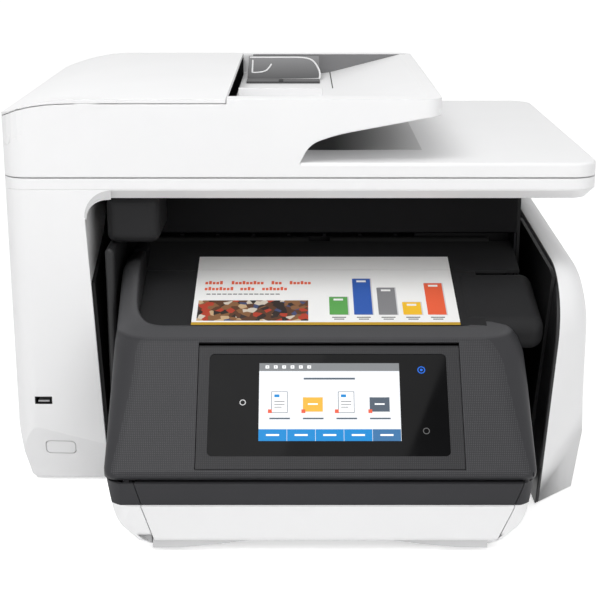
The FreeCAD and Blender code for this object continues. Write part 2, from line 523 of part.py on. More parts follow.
# Front bulkhead: the dark wall behind the nose, with the slot for the paper tray.
LEFT_FLARE = f"(left_high - left_low) * ({BAND_TOP} - {BASE_TOP}) / (pan_level - {BASE_TOP})"
RIGHT_FLARE = f"(right_high - right_low) * ({BAND_TOP} - {BASE_TOP}) / ({WING_TOP} - {BASE_TOP})"
bulk_wall = prism("BulkWall", "XZ", [
    ("-left_low + liner", BASE_TOP), ("right_low - liner", BASE_TOP),
    (f"right_low - liner + {RIGHT_FLARE}", BAND_TOP), (f"-left_low + liner - {LEFT_FLARE}", BAND_TOP)],
    (FACE, "-face_front + 4"))
bulk_slot = box("BulkSlot", ("-tray_left - 2", "tray_right + 2"), ("-face_front - 1", "-face_front + 5"),
                ("0", f"{BASE_TOP} + tray_height + 3"))
node(cut("FrontBulkhead", bulk_wall, bulk_slot), "front_bulkhead")

# Nose outlines shared by the door, the dark band and the white skirt.
def nose_shape(name, inset):
    """Plan and front outlines of the nose, drawn in by an inset."""
    plan = prism(name + "Plan", "XY", [
        (f"-door_left + {inset}", f"-nose_front + {inset}"),
        (f"door_right - {inset}", f"-nose_front + {inset}"),
        (f"door_right - {inset}", "door_reach"), (f"-door_left + {inset}", "door_reach")],
        ("0", "pan_level"), [((0, 1), f"nose_corner - {inset}")])
    front = prism(name + "Front", "XZ", [
        (f"-door_left + {inset}", "pan_level"), (f"-door_left + {inset}", "face_level + 2"),
        (f"-door_left + 9 + {inset}", "nose_knee"), (f"-door_left + nose_sole + {inset}", "skirt_foot"),
        (f"door_right - nose_sole - {inset}", "skirt_foot"), (f"door_right - 9 - {inset}", "nose_knee"),
        (f"door_right - {inset}", "face_level + 2"), (f"door_right - {inset}", "pan_level")],
        (NOSE, "door_reach"), [((2, 5), "30"), ((3, 4), "8")])
    return plan, front


nose_plan, nose_front = nose_shape("Nose", "0")
inner_plan, inner_front = nose_shape("NoseInner", "skin")
NOSE_X = ("-door_left - 1", "door_right + 1")
band_side = prism("BandSide", "YZ", [
    ("-face_foot", "band_foot"), ("-face_foot", BAND_TOP), (FACE, BAND_TOP), (FACE, "band_foot")], NOSE_X)
skirt_side = prism("SkirtSide", "YZ", [
    (NOSE, "band_foot"), (FACE, "band_foot"), (FACE, "skirt_foot"), ("-nose_front + 16", "skirt_foot"),
    ("-nose_front + 4", "skirt_front_foot")], NOSE_X, [((4,), "5")])
sleeve = shared("NoseSleeve", inner_plan, inner_front)


def front_slab(name, gap, span):
    """The middle of the nose between the two slanted cut lines."""
    slope = f"(cut_high - cut_low) / ({BAND_TOP} - skirt_foot)"
    slope_right = f"(cut_high_right - cut_low_right) / ({BAND_TOP} - skirt_foot)"
    rise = f"(pan_level - {BAND_TOP})"
    return prism(name, "XZ", [
        (f"-cut_low - {gap} + {slope} * skirt_foot", "0"),
        (f"cut_low_right + {gap} - {slope_right} * skirt_foot", "0"),
        (f"cut_high_right + {gap} + {slope_right} * {rise}", "pan_level"),
        (f"-cut_high - {gap} - {slope} * {rise}", "pan_level")], span)


tray_slab = front_slab("TraySlab", "0", (NOSE, "-tray_front"))
cheek_void = front_slab("CheekVoid", "seam", ("-nose_front - 1", "-face_front + 1"))
LUG_SPANS = {"left": "-cut_high - seam - lug_width - 4", "right": "cut_high_right + seam + 0.4"}
SIDES = {"left": ("-door_left - 1", "0"), "right": ("0", "door_right + 1")}
band_hollow = shared("BandHollow", inner_plan, inner_front, box(
    "BandRoom", NOSE_X, ("-face_foot + skin", "-face_front + 1"), ("0", "pan_level")))
pins, bands, skirts = [], [], []
for label, half in SIDES.items():
    half_box = box(f"Half{label}", half, ("-nose_front - 1", "-face_front + 1"), ("0", "pan_level"))
    band_block = shared(f"BandBlock{label}", nose_plan, nose_front, band_side, half_box)
    band_shell = cut(f"BandShell{label}", band_block, band_hollow, cheek_void)
    lug_x = (LUG_SPANS[label], f"{LUG_SPANS[label]} + lug_width")
    lug_root = box(f"LugRoot{label}", lug_x, ("-face_foot + 1", HINGE_Y), ("band_foot", BAND_TOP))
    lug_tab = box(f"LugTab{label}", lug_x, (f"{HINGE_Y} - 2.5", f"{HINGE_Y} + 3.5"), ("band_foot", HINGE_Z))
    lug_eye = rod(f"LugEye{label}", "X", (lug_x[0], HINGE_Y, HINGE_Z), "3.5", "lug_width")
    lug = shared(f"Lug{label}", joined(f"LugForm{label}", lug_root, lug_tab, lug_eye), nose_plan)
    lug_bore = rod(f"LugBore{label}", "X", (f"{lug_x[0]} - 1", HINGE_Y, HINGE_Z), "door_pin", "lug_width + 2")
    skirt_block = shared(f"SkirtBlock{label}", nose_plan, nose_front, skirt_side, half_box)
    bands.append(cut(f"CheekBand{label}", joined(f"BandLug{label}", band_shell, lug), lug_bore))
    skirts.append(cut(f"SkirtShell{label}", skirt_block, sleeve, cheek_void))
node(group("CheekBands", *bands), "cheek_bands")
node(group("CheekSkirts", *skirts), "cheek_skirts")
node(shared("TrayFrontBand", nose_plan, nose_front, band_side, tray_slab), "tray_front_band")
tray_panel = shared("TrayPanelBlock", nose_plan, nose_front, skirt_side, tray_slab)
arch_radius = "(arch_half * arch_half + arch_rise * arch_rise) / (2 * arch_rise)"
NOSE_MID = "(door_right - door_left) / 2"
finger_arch = rod("FingerArch", "Y", (NOSE_MID, "-nose_front - 1", f"skirt_foot + arch_rise - {arch_radius}"),
                  arch_radius, "nose_front - tray_front + 2")
node(cut("TrayFrontPanel", tray_panel, finger_arch), "tray_front_panel")

# Paper tray with sliding guides for width and length.
TRAY_FOOT = f"({BASE_TOP} + tray_lift)"
TRAY_TOP = f"({BASE_TOP} + tray_lift + tray_height)"
tray_block = box("TrayBlock", ("-tray_left", "tray_right"), ("-tray_front", "tray_rear"),
                 (TRAY_FOOT, TRAY_TOP))
tray_hollow = box("TrayHollow", ("-tray_left + tray_wall", "tray_right - tray_wall"),
                  ("-tray_front + tray_wall", "tray_rear - tray_wall"),
                  (f"{TRAY_FOOT} + tray_wall", f"{TRAY_TOP} + 1"))
node(cut("PaperTray", tray_block, tray_hollow), "paper_tray")
TRAY_MID = "(tray_right - tray_left) / 2"
GUIDE_FOOT = f"({TRAY_FOOT} + tray_wall + guide_lift)"
for label, sign in (("left", "-"), ("right", "+")):
    face = f"{TRAY_MID} {sign} sheet_half"
    out = f"{TRAY_MID} {sign} (sheet_half + guide_plate)"
    low, high = (out, face) if label == "left" else (face, out)
    fin = box(f"TrayFin{label}", (low, high), ("-guide_length / 2 - 60", "guide_length / 2 - 60"),
              (GUIDE_FOOT, f"{GUIDE_FOOT} + guide_height"))
    arm = (low, f"{high} + 24") if label == "left" else (f"{low} - 24", high)
    shoe = box(f"TrayShoe{label}", arm, ("-guide_length / 4 - 60", "guide_length / 4 - 60"),
               (GUIDE_FOOT, f"{GUIDE_FOOT} + 2"))
    node(joined(f"TrayGuide{label}", fin, shoe), f"tray_guide_{label}")
STOP_Y = "(-tray_front + 26)"
stop_fin = box("StopFin", (f"{TRAY_MID} - 22", f"{TRAY_MID} + 22"), (STOP_Y, f"{STOP_Y} + guide_plate"),
               (GUIDE_FOOT, f"{GUIDE_FOOT} + guide_height"))
stop_shoe = box("StopShoe", (f"{TRAY_MID} - 15", f"{TRAY_MID} + 15"), (STOP_Y, f"{STOP_Y} + 34"),
                (GUIDE_FOOT, f"{GUIDE_FOOT} + 2"))
node(joined("TrayLengthGuide", stop_fin, stop_shoe), "tray_length_guide")

# Front door: the leaning face, the rolled lip and the front of the output floor in one hollow wedge.
LIP_FRONT = ("-face_foot + face_length * sin(door_lean)", "face_level + face_length * cos(door_lean)")
DOOR_BACK = "-door_reach"
door_side = prism("DoorSide", "YZ", [
    (f"-face_foot - (face_level - {NOSE_FOOT}) * tan(door_lean)", NOSE_FOOT), LIP_FRONT, (LIP_Y, LIP_Z),
    (DOOR_BACK, floor_height(DOOR_BACK)), (DOOR_BACK, f"{floor_height(DOOR_BACK)} - door_skin"),
    (f"{FACE} - 12", NOSE_FOOT), (f"{HINGE_Y} + 1", NOSE_FOOT)],
    NOSE_X, [((0,), "hinge_radius"), ((1,), "lip_round")])
HOLLOW_FOOT = "-face_foot + face_slab * cos(door_lean)"
door_hollow_side = prism("DoorHollowSide", "YZ", [
    (HOLLOW_FOOT, "face_level - face_slab * sin(door_lean)"),
    (f"{HOLLOW_FOOT} + (face_length - 18) * sin(door_lean)",
     "face_level - face_slab * sin(door_lean) + (face_length - 18) * cos(door_lean)"),
    (f"{LIP_Y} + 12", f"{floor_height(LIP_Y + ' + 12')} - door_skin"),
    (f"{DOOR_BACK} + 1", f"{floor_height(DOOR_BACK + ' + 1')} - door_skin"),
    (f"{DOOR_BACK} + 1", "face_level - face_slab * sin(door_lean)")],
    ("-door_left + skin", "door_right - skin"))
door_block = shared("DoorBlock", door_side, nose_plan, nose_front)


def panel_form(name, gap, span):
    """The control panel's section, rounded along its top edge where it pivots, grown by a gap."""
    return prism(name, "YZ", [
        (f"-{gap}", f"panel_foot - {gap}"), (f"panel_deep + {gap}", f"panel_foot - {gap}"),
        (f"panel_deep + {gap}", f"panel_top + {gap}"), (f"-{gap}", f"panel_top + {gap}")],
        span, [((2, 3), f"(panel_deep + 2 * {gap}) / 2 - 0.01")])


PANEL_X = ("-panel_left", "panel_right")
panel_pocket = on_face(panel_form("PanelPocket", "0.5", ("-panel_left - 0.5", "panel_right + 0.5")))
PIVOT_Y = "(-face_foot + panel_deep / 2 * cos(door_lean) + (panel_top - panel_deep / 2) * sin(door_lean))"
PIVOT_Z = "(face_level - panel_deep / 2 * sin(door_lean) + (panel_top - panel_deep / 2) * cos(door_lean))"
panel_bore = rod("PanelBore", "X", ("-panel_left - 5", PIVOT_Y, PIVOT_Z), "panel_pin + run_fit",
                 "panel_left + panel_right + 10")
door_notches, door_bores = [], []
for label, start in LUG_SPANS.items():
    notch_x = (f"{start} - seam", f"{start} + lug_width + seam")
    door_notches.append(rod(f"DoorNotch{label}", "X", (notch_x[0], HINGE_Y, HINGE_Z), "hinge_radius - 0.9",
                            "lug_width + 2 * seam"))
    door_notches.append(box(f"DoorSlot{label}", notch_x,
                            (f"{HINGE_Y} - hinge_radius - 3", f"{HINGE_Y} + 4.5"),
                            (f"{HINGE_Z} - hinge_radius - 3", HINGE_Z)))
    door_bores.append(rod(f"DoorBore{label}", "X", (f"{start} - 4", HINGE_Y, HINGE_Z), "door_pin + run_fit",
                          "lug_width + 8"))
    pins.append(rod(f"DoorPin{label}", "X", (f"{start} - 3.5", HINGE_Y, HINGE_Z), "door_pin",
                    "lug_width + 7"))
node(cut("FrontDoor", door_block, door_hollow_side, panel_pocket, panel_bore, *door_notches, *door_bores),
     "front_door")

# Control panel: a frame flush with the face, a sunk glass and the display behind it.
GLASS_BACK = "glass_deep + glass_sink"


def face_slab_piece(name, edges, depth, radius):
    """A slab in the plane of the face between left, right, foot and top edges."""
    left, right, foot, top = edges
    slab = prism(name, "XZ", [(left, foot), (right, foot), (right, top), (left, top)], depth,
                 [((0, 1, 2, 3), radius)])
    return on_face(slab)


GLASS_EDGES = ("-glass_left", "glass_right", "glass_foot", "glass_top")
SCREEN_EDGES = ("-screen_left", "screen_right", "screen_foot", "screen_top")
panel_pin = rod("PanelPin", "X", ("-panel_left - 4", PIVOT_Y, PIVOT_Z), "panel_pin",
                "panel_left + panel_right + 8")
panel_body = joined("PanelBody", on_face(panel_form("PanelForm", "0", PANEL_X)), panel_pin)
glass_seat = face_slab_piece("GlassSeat", GLASS_EDGES, ("-1", GLASS_BACK), "4")
screen_seat = face_slab_piece("ScreenSeat", SCREEN_EDGES, ("0", f"{GLASS_BACK} + screen_deep"), "1")
node(cut("ControlPanel", panel_body, glass_seat, screen_seat), "control_panel")
node(face_slab_piece("TouchGlass", GLASS_EDGES, ("glass_sink", GLASS_BACK), "4"), "touch_glass")
node(face_slab_piece("Display", SCREEN_EDGES, (GLASS_BACK, f"{GLASS_BACK} + screen_deep"), "1"), "display")

# Scanner: a white ring, a dark pan with a sloped rim, the glass in its frame and the scan bar on a rail.
scan_plan = [(LEFT, FACE), (RIGHT, FACE), (RIGHT, "lid_rear"), (LEFT, "lid_rear")]
ring_block = prism("RingBlock", "XY", scan_plan, (STRIP_FOOT, STRIP_TOP), [((0, 1, 2, 3), "plan_corner")])
WELL_X = ("-half_width + well_left", "half_width - well_right")
WELL_Y = ("-face_front + well_rim", "lid_rear - well_rim")
FRAME_FOOT = f"({STRIP_TOP} - frame_thick)"
well = box("ScanWell", WELL_X, WELL_Y, ("pan_level + 3", f"{STRIP_TOP} + 1"))
frame_seat = box("FrameSeat", (f"{WELL_X[0]} - frame_step", f"{WELL_X[1]} + frame_step"),
                 (f"{WELL_Y[0]} - frame_step", f"{WELL_Y[1]} + frame_step"), (FRAME_FOOT, f"{STRIP_TOP} + 1"))
node(cut("ScannerHousing", ring_block, well, frame_seat), "scanner_housing")
pan_block = doc.addObject("PartDesign::Body", "PanBlock")
pan_sketch, pan_corners = outline(pan_block, "XY", scan_plan)
tie(pan_sketch, AttachmentOffset__Base__z="pan_level")
pan_pad = pan_block.newObject("PartDesign::Pad", "PanPad")
pan_pad.Profile = pan_sketch
tie(pan_pad, Length="pan_height")
doc.recompute()
pan_round = rounded(pan_block, pan_pad, [long_edge(pan_pad.Shape, "XY", corner) for corner in pan_corners],
                    "plan_corner")
pan_foot = number("pan_level")
pan_slope = pan_block.newObject("PartDesign::Chamfer", "PanSlope")
foot_edges = edges_where(pan_round.Shape, lambda edge: abs(edge.BoundBox.ZMax - pan_foot) < TOUCH)
pan_slope.Base = (pan_round, foot_edges)
tie(pan_slope, Size="pan_slope")
doc.recompute()
node(cut("ScannerPan", pan_block, tower_front, well), "scanner_pan")
PANE_Y = ("pane_front", "pane_rear")
STRIP_GLASS = ((f"{WELL_X[0]} + 4", f"{WELL_X[0]} + 4 + strip_pane"), PANE_Y)
PLATEN_GLASS = ((f"{WELL_X[0]} + 4 + strip_pane + pane_margin", f"{WELL_X[1]} - pane_margin"), PANE_Y)
frame_block = box("FrameBlock", (f"{WELL_X[0]} - frame_step", f"{WELL_X[1]} + frame_step"),
                  (f"{WELL_Y[0]} - frame_step", f"{WELL_Y[1]} + frame_step"), (FRAME_FOOT, STRIP_TOP))
frame_windows = [box(f"FrameWindow{index}", x, y, (f"{FRAME_FOOT} - 1", f"{STRIP_TOP} + 1"))
                 for index, (x, y) in enumerate((PLATEN_GLASS, STRIP_GLASS))]
node(cut("GlassFrame", frame_block, *frame_windows), "glass_frame")
panes = [box(f"Pane{index}", x, y, (FRAME_FOOT, f"{FRAME_FOOT} + pane_thick"))
         for index, (x, y) in enumerate((PLATEN_GLASS, STRIP_GLASS))]
node(group("ScannerGlass", *panes), "scanner_glass")
RAIL_Y, RAIL_Z, RAIL_RADIUS = "scan_rail_y", "pan_level + 7", "scan_rail_radius"
scan_rail = rod("ScanRail", "X", (WELL_X[0], RAIL_Y, RAIL_Z), RAIL_RADIUS, f"({WELL_X[1]}) - ({WELL_X[0]})")
node(group("GuideRods", carriage_rod, scan_rail), "guide_rods")
bar_block = box("BarBlock", (f"{WELL_X[0]} + 1", f"{WELL_X[0]} + 1 + bar_width"),
                ("pane_front - 8", "pane_rear + 8"), ("pan_level + 3.5", f"{FRAME_FOOT} - seam"))
bar_bore = rod("BarBore", "X", (WELL_X[0], RAIL_Y, RAIL_Z), f"{RAIL_RADIUS} + run_fit", "bar_width + 2")
bar_slot = box("BarSlot", (f"{WELL_X[0]} + 6", f"{WELL_X[0]} + 12"), ("pane_front - 4", "scan_rail_y - 12"),
               (f"{FRAME_FOOT} - 3", FRAME_FOOT))
node(cut("ScanBar", bar_block, bar_bore, bar_slot), "scan_bar")

# Lid and feeder base in one moulding: the lid plate, the feeder's housing and its cantilevered input deck.
lid_plate = doc.addObject("PartDesign::Body", "LidPlate")
lid_sketch, lid_corners = outline(lid_plate, "XY", scan_plan)
tie(lid_sketch, AttachmentOffset__Base__z=LID_FOOT)
lid_pad = lid_plate.newObject("PartDesign::Pad", "LidPad")
lid_pad.Profile = lid_sketch
tie(lid_pad, Length="lid_height")
doc.recompute()
lid_round = rounded(lid_plate, lid_pad, [long_edge(lid_pad.Shape, "XY", corner) for corner in lid_corners],
                    "plan_corner")
lid_top = number(LID_TOP)
rounded(lid_plate, lid_round,
        edges_where(lid_round.Shape, lambda edge: abs(edge.BoundBox.ZMin - lid_top) < TOUCH), "lid_edge")
feeder_plan = prism("FeederPlan", "XY", scan_plan, (LID_FOOT, f"{TOP} + 1"), [((0, 3), "plan_corner")])
SEAM_LOW, SEAM_HIGH = f"({TOP} - cover_rim - cover_fall)", f"({TOP} - cover_rim)"
FEEDER_Y = (FACE, "feeder_rear")
feeder_left = prism("FeederLeft", "XZ", [
    (LEFT, LID_FOOT), ("0", LID_FOOT), ("0", LID_TOP), ("-cover_right + 20", SEAM_HIGH),
    ("-cover_right", SEAM_HIGH), ("-half_width + cover_run", SEAM_HIGH), (LEFT, SEAM_LOW)],
    FEEDER_Y, [((5,), "cover_round")])
deck_form = prism("DeckForm", "XZ", [
    ("-cover_right + seam", TOP), ("-cover_right + seam", LID_FOOT), ("0", LID_FOOT), ("0", LID_TOP),
    ("8", f"{LID_TOP} + 15.5"), ("30", f"{LID_TOP} + 23.5"), ("deck_right - 16", f"{TOP} - deck_end"),
    ("deck_right", f"{TOP} - deck_end + 2"), ("deck_right", TOP)], FEEDER_Y,
    [((4,), "22"), ((5,), "150"), ((7,), "1.5")])
deck_plan = prism("DeckPlan", "XY", [
    ("-cover_right + seam", FACE), ("deck_right", FACE), ("deck_right", "feeder_rear"),
    ("-cover_right + seam", "feeder_rear")], (LID_FOOT, f"{TOP} + 1"), [((1, 2), "deck_corner")])
BAY_Y = ("-face_front + rim_front", "feeder_rear - rim_rear")
deck_recess = prism("DeckRecess", "XZ", [
    ("-cover_right - 4", f"{TOP} + 1"), ("-cover_right - 4", f"{TOP} - deck_low"),
    ("deck_bend", f"{TOP} - deck_low"), ("deck_right - 8", f"{TOP} + 1")], BAY_Y, [((2,), "deck_round")])
feeder_bay = box("FeederBay", ("-half_width + 26", "-cover_right + 1"), BAY_Y,
                 (f"{LID_TOP} + bay_floor", f"{TOP} + 1"))
COVER_X, COVER_Z = "(-half_width + 5)", f"({TOP} - cover_fall + 1.5)"
FEEDER_LENGTH = "(face_front + feeder_rear)"
cover_trough = rod("CoverTrough", "Y", (COVER_X, "-face_front - 1", COVER_Z), "cover_bead + seam",
                   f"{FEEDER_LENGTH} + 2")
PAD_X, PAD_Y = (f"{WELL_X[0]} + 8", f"{WELL_X[1]} - 4"), ("pane_front - 12", "pane_rear + 12")
lid_recess = box("LidRecess", PAD_X, PAD_Y, (f"{LID_FOOT} - 1", f"{LID_FOOT} + pad_thick"))
LID_AXIS_Y, LID_AXIS_Z = "(lid_rear + 4)", f"({LID_FOOT} + 3)"
LUG_CENTRES = ("-half_width + lug_inset", "half_width - lug_inset")
lid_lugs, lid_bores, lid_pins, brackets = [], [], [], []
for index, x in enumerate(LUG_CENTRES):
    lid_lugs.append(joined(
        f"LidLug{index}",
        box(f"LidLugArm{index}", (f"{x} - 10", f"{x} + 10"), ("lid_rear - 6", LID_AXIS_Y),
            (f"{LID_AXIS_Z} - 3", f"{LID_AXIS_Z} + lid_eye")),
        rod(f"LidLugEye{index}", "X", (f"{x} - 10", LID_AXIS_Y, LID_AXIS_Z), "lid_eye", "20")))
    lid_bores.append(rod(f"LidBore{index}", "X", (f"{x} - 11", LID_AXIS_Y, LID_AXIS_Z),
                         "lid_pin + run_fit", "22"))
    lid_pins.append(rod(f"LidPin{index}", "X", (f"{x} - 17", LID_AXIS_Y, LID_AXIS_Z), "lid_pin", "34"))
    for side, low in (("Low", f"{x} - 16"), ("High", f"{x} + 11")):
        ear = joined(
            f"Ear{index}{side}Form",
            box(f"EarFoot{index}{side}", (low, f"{low} + ear_width"), ("lid_rear", f"{LID_AXIS_Y} + ear_eye"),
                (f"{STRIP_FOOT} - 24", f"{STRIP_TOP} - 0.5")),
            box(f"EarPost{index}{side}", (low, f"{low} + ear_width"),
                (f"{LID_AXIS_Y} - ear_eye", f"{LID_AXIS_Y} + ear_eye"),
                (f"{STRIP_TOP} - 0.5", LID_AXIS_Z)),
            rod(f"EarEye{index}{side}", "X", (low, LID_AXIS_Y, LID_AXIS_Z), "ear_eye", "ear_width"))
        ear_bore = rod(f"EarBore{index}{side}", "X", (f"{low} - 1", LID_AXIS_Y, LID_AXIS_Z), "lid_pin",
                       "ear_width + 2")
        brackets.append(cut(f"Ear{index}{side}", ear, ear_bore))
feeder_shell = joined("FeederShell", lid_plate, shared("FeederHousing", feeder_left, feeder_plan),
                      shared("FeederDeck", deck_form, deck_plan), *lid_lugs)
ADF_X = {"pick": "-cover_right - 38", "feed": "-cover_right - 84"}
ADF_Z = f"({TOP} - deck_low + 2)"
BAY_LENGTH = f"({FEEDER_LENGTH} - rim_front - rim_rear)"
adf_bores = [rod(f"FeederBore{label}", "Y", (x, f"{BAY_Y[0]} - 8", ADF_Z), SHAFT_FIT, f"{BAY_LENGTH} + 16")
             for label, x in ADF_X.items()]
node(cut("ScannerLid", feeder_shell, deck_recess, feeder_bay, cover_trough, lid_recess,
         *lid_bores, *adf_bores), "scanner_lid")
node(group("HingePins", *pins, *lid_pins), "hinge_pins")
node(group("LidHingeBrackets", *brackets), "lid_hinge_brackets")
node(box("BackingPad", PAD_X, PAD_Y, (f"{LID_FOOT} - pad_gap", f"{LID_FOOT} + pad_thick")), "backing_pad")
for label, x in ADF_X.items():
    stub = (f"6 + {BAY_LENGTH} / 2 - 40", "shaft_radius")
    node(turned(f"Feeder{label}", "Y", (x, f"{BAY_Y[0]} - 6", ADF_Z), [stub, ("80", "feeder_roller"), stub]),
         f"feeder_{label}_roller")

# Feeder cover: a curved plate that pivots along its left edge.
def cover_form(name, drop):
    """The feeder's roof outline, lowered by a drop."""
    return prism(name, "XZ", [
        ("-cover_right", f"{TOP} - {drop}"), ("-cover_right", f"{LID_TOP}"), (LEFT, f"{LID_TOP}"),
        (LEFT, f"{TOP} - cover_fall - {drop}"), ("-half_width + cover_run", f"{TOP} - {drop}")],
        FEEDER_Y, [((4,), "cover_round")])


cover_roof = shared("CoverRoof", cover_form("CoverOuter", "0"), feeder_plan)
cover_plate = cut("CoverPlate", cover_roof, cover_form("CoverInner", "(cover_rim - seam)"),
                  box("CoverTip", (f"{LEFT} - 1", COVER_X), (f"{FACE} - 1", "feeder_rear + 1"),
                      (LID_TOP, TOP)))
cover_bead = rod("CoverBead", "Y", (COVER_X, FACE, COVER_Z), "cover_bead", FEEDER_LENGTH)
cover_nose = shared("CoverNose", cover_bead, feeder_plan)
node(joined("FeederCover", cover_plate, cover_nose), "feeder_cover")

# Document guides: the rear one leans back, the front one is a low fin; both slide on flat shoes.
DECK_FOOT = f"({TOP} - deck_low + guide_lift)"
GUIDE_X = ("-guide_left", "guide_right")
rear_shoe = box("RearGuideShoe", GUIDE_X, ("rear_guide_y - 22", "rear_guide_y + 8"),
                (DECK_FOOT, f"{DECK_FOOT} + 2"))
rear_wing = prism("RearGuideWing", "YZ", [
    ("rear_guide_y - 2", DECK_FOOT), ("rear_guide_y + 6", DECK_FOOT), ("guide_tip", f"{TOP} - 3"),
    ("guide_tip - 2", f"{TOP} - 0.5")], GUIDE_X)
node(joined("RearGuide", rear_shoe, rear_wing), "document_guide_rear")
front_shoe = box("FrontGuideShoe", GUIDE_X, ("-front_guide_y - 12", "-front_guide_y + 12"),
                 (DECK_FOOT, f"{DECK_FOOT} + 2"))
front_fin = box("FrontGuideFin", GUIDE_X, ("-front_guide_y - 1.5", "-front_guide_y + 1.5"),
                (DECK_FOOT, f"{TOP} - 1.5"))
node(joined("FrontGuide", front_shoe, front_fin), "document_guide_front")

# Rear: a flat cover with openings for the access door, the ports and the mains inlet.
REAR_Y = ("side_rear", "side_rear + rear_plate")
DOOR_X = ("-half_width + access_left", "half_width - access_right")
DOOR_Z = ("access_foot", "access_top")
PORTS_X = ("half_width - ports_inset - ports_width", "half_width - ports_inset")
PORTS_Z = ("ports_foot", "ports_top")
INLET_X = ("-half_width + inlet_inset", "-half_width + inlet_inset + inlet_width")
INLET_Z = ("inlet_foot", "inlet_top")
rear_plate = prism("RearPlate", "XZ", [
    ("-half_width + 1", "pan_level"), ("-half_width + 1", "tuck_level"),
    ("-half_width + side_tuck", BASE_TOP), ("half_width - side_tuck", BASE_TOP),
    ("half_width - 1", "tuck_level"), ("half_width - 1", "pan_level")], REAR_Y)
rear_holes = [box(f"RearHole{index}", x, ("side_rear - 1", "side_rear + rear_plate + 1"), z)
              for index, (x, z) in enumerate(((DOOR_X, DOOR_Z), (PORTS_X, PORTS_Z), (INLET_X, INLET_Z)))]
ACCESS_FOOT, ACCESS_TOP = "(access_foot + 2 * seam)", "access_top - seam"
ACCESS_Y, ACCESS_Z = "side_rear + rear_plate - access_skin / 2", f"{ACCESS_FOOT} + access_skin / 2"
access_bore = rod("AccessBore", "X", (f"{DOOR_X[0]} - 3.5", ACCESS_Y, ACCESS_Z), "access_pin + run_fit",
                  f"({DOOR_X[1]}) - ({DOOR_X[0]}) + 7")
node(cut("RearCover", rear_plate, *rear_holes, access_bore), "rear_cover")
access_side = prism("AccessSide", "YZ", [
    ("side_rear + rear_plate - access_skin", ACCESS_FOOT), ("side_rear + rear_plate", ACCESS_FOOT),
    ("rear_end", f"{ACCESS_FOOT} + 22"), ("rear_end", "access_top - 30"),
    ("side_rear + rear_plate", ACCESS_TOP),
    ("side_rear + rear_plate - access_skin", ACCESS_TOP)],
    (f"{DOOR_X[0]} + seam", f"{DOOR_X[1]} - seam"), [((0, 1), "access_skin / 2 - 0.02")])
access_pin = rod("AccessPin", "X", (f"{DOOR_X[0]} - 3", ACCESS_Y, ACCESS_Z), "access_pin",
                 f"({DOOR_X[1]}) - ({DOOR_X[0]}) + 6")
node(joined("RearAccessDoor", access_side, access_pin), "rear_access_door")
port_block = box("PortBlock", PORTS_X, ("side_rear - ports_deep", "side_rear + rear_plate"), PORTS_Z)
SOCKETS = {"network": (6, 22, 58, 72), "line": (28, 40, 58, 70), "phone": (44, 56, 58, 70),
           "computer": (8, 20, 20, 31)}
sockets = [box(f"Socket{name}", (f"{PORTS_X[0]} + {left}", f"{PORTS_X[0]} + {right}"),
               ("side_rear - ports_deep + 3", "side_rear + rear_plate + 1"),
               (f"ports_foot + {foot}", f"ports_foot + {top}"))
           for name, (left, right, foot, top) in SOCKETS.items()]
node(cut("PortPanel", port_block, *sockets), "port_panel")
inlet_block = box("InletBlock", INLET_X, ("side_rear - inlet_deep", "side_rear + rear_plate"), INLET_Z)
inlet_mouth = box("InletMouth", (f"{INLET_X[0]} + 5", f"{INLET_X[1]} - 5"),
                  ("side_rear - inlet_deep + 4", "side_rear + rear_plate + 1"),
                  ("inlet_foot + 6", "inlet_top - 6"))
node(cut("MainsInlet", inlet_block, inlet_mouth), "mains_inlet")

doc.recompute()
for item in doc.Objects:
    if "Invalid" in item.State or "Error" in item.State:
        raise RuntimeError(f"{item.Label} failed: {item.State}")
for piece in nodes:
    if piece.Shape.isNull() or not piece.Shape.isValid() or not piece.Shape.Solids:
        raise RuntimeError(f"{piece.Label} has no valid solid")
os.makedirs("parts", exist_ok=True)
for piece in nodes:
    piece.Shape.exportStep(f"parts/{piece.Label}.step")
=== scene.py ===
from math import cos, pi, radians, sin, tan
import bmesh
import bpy
from mathutils import Matrix, Quaternion, Vector


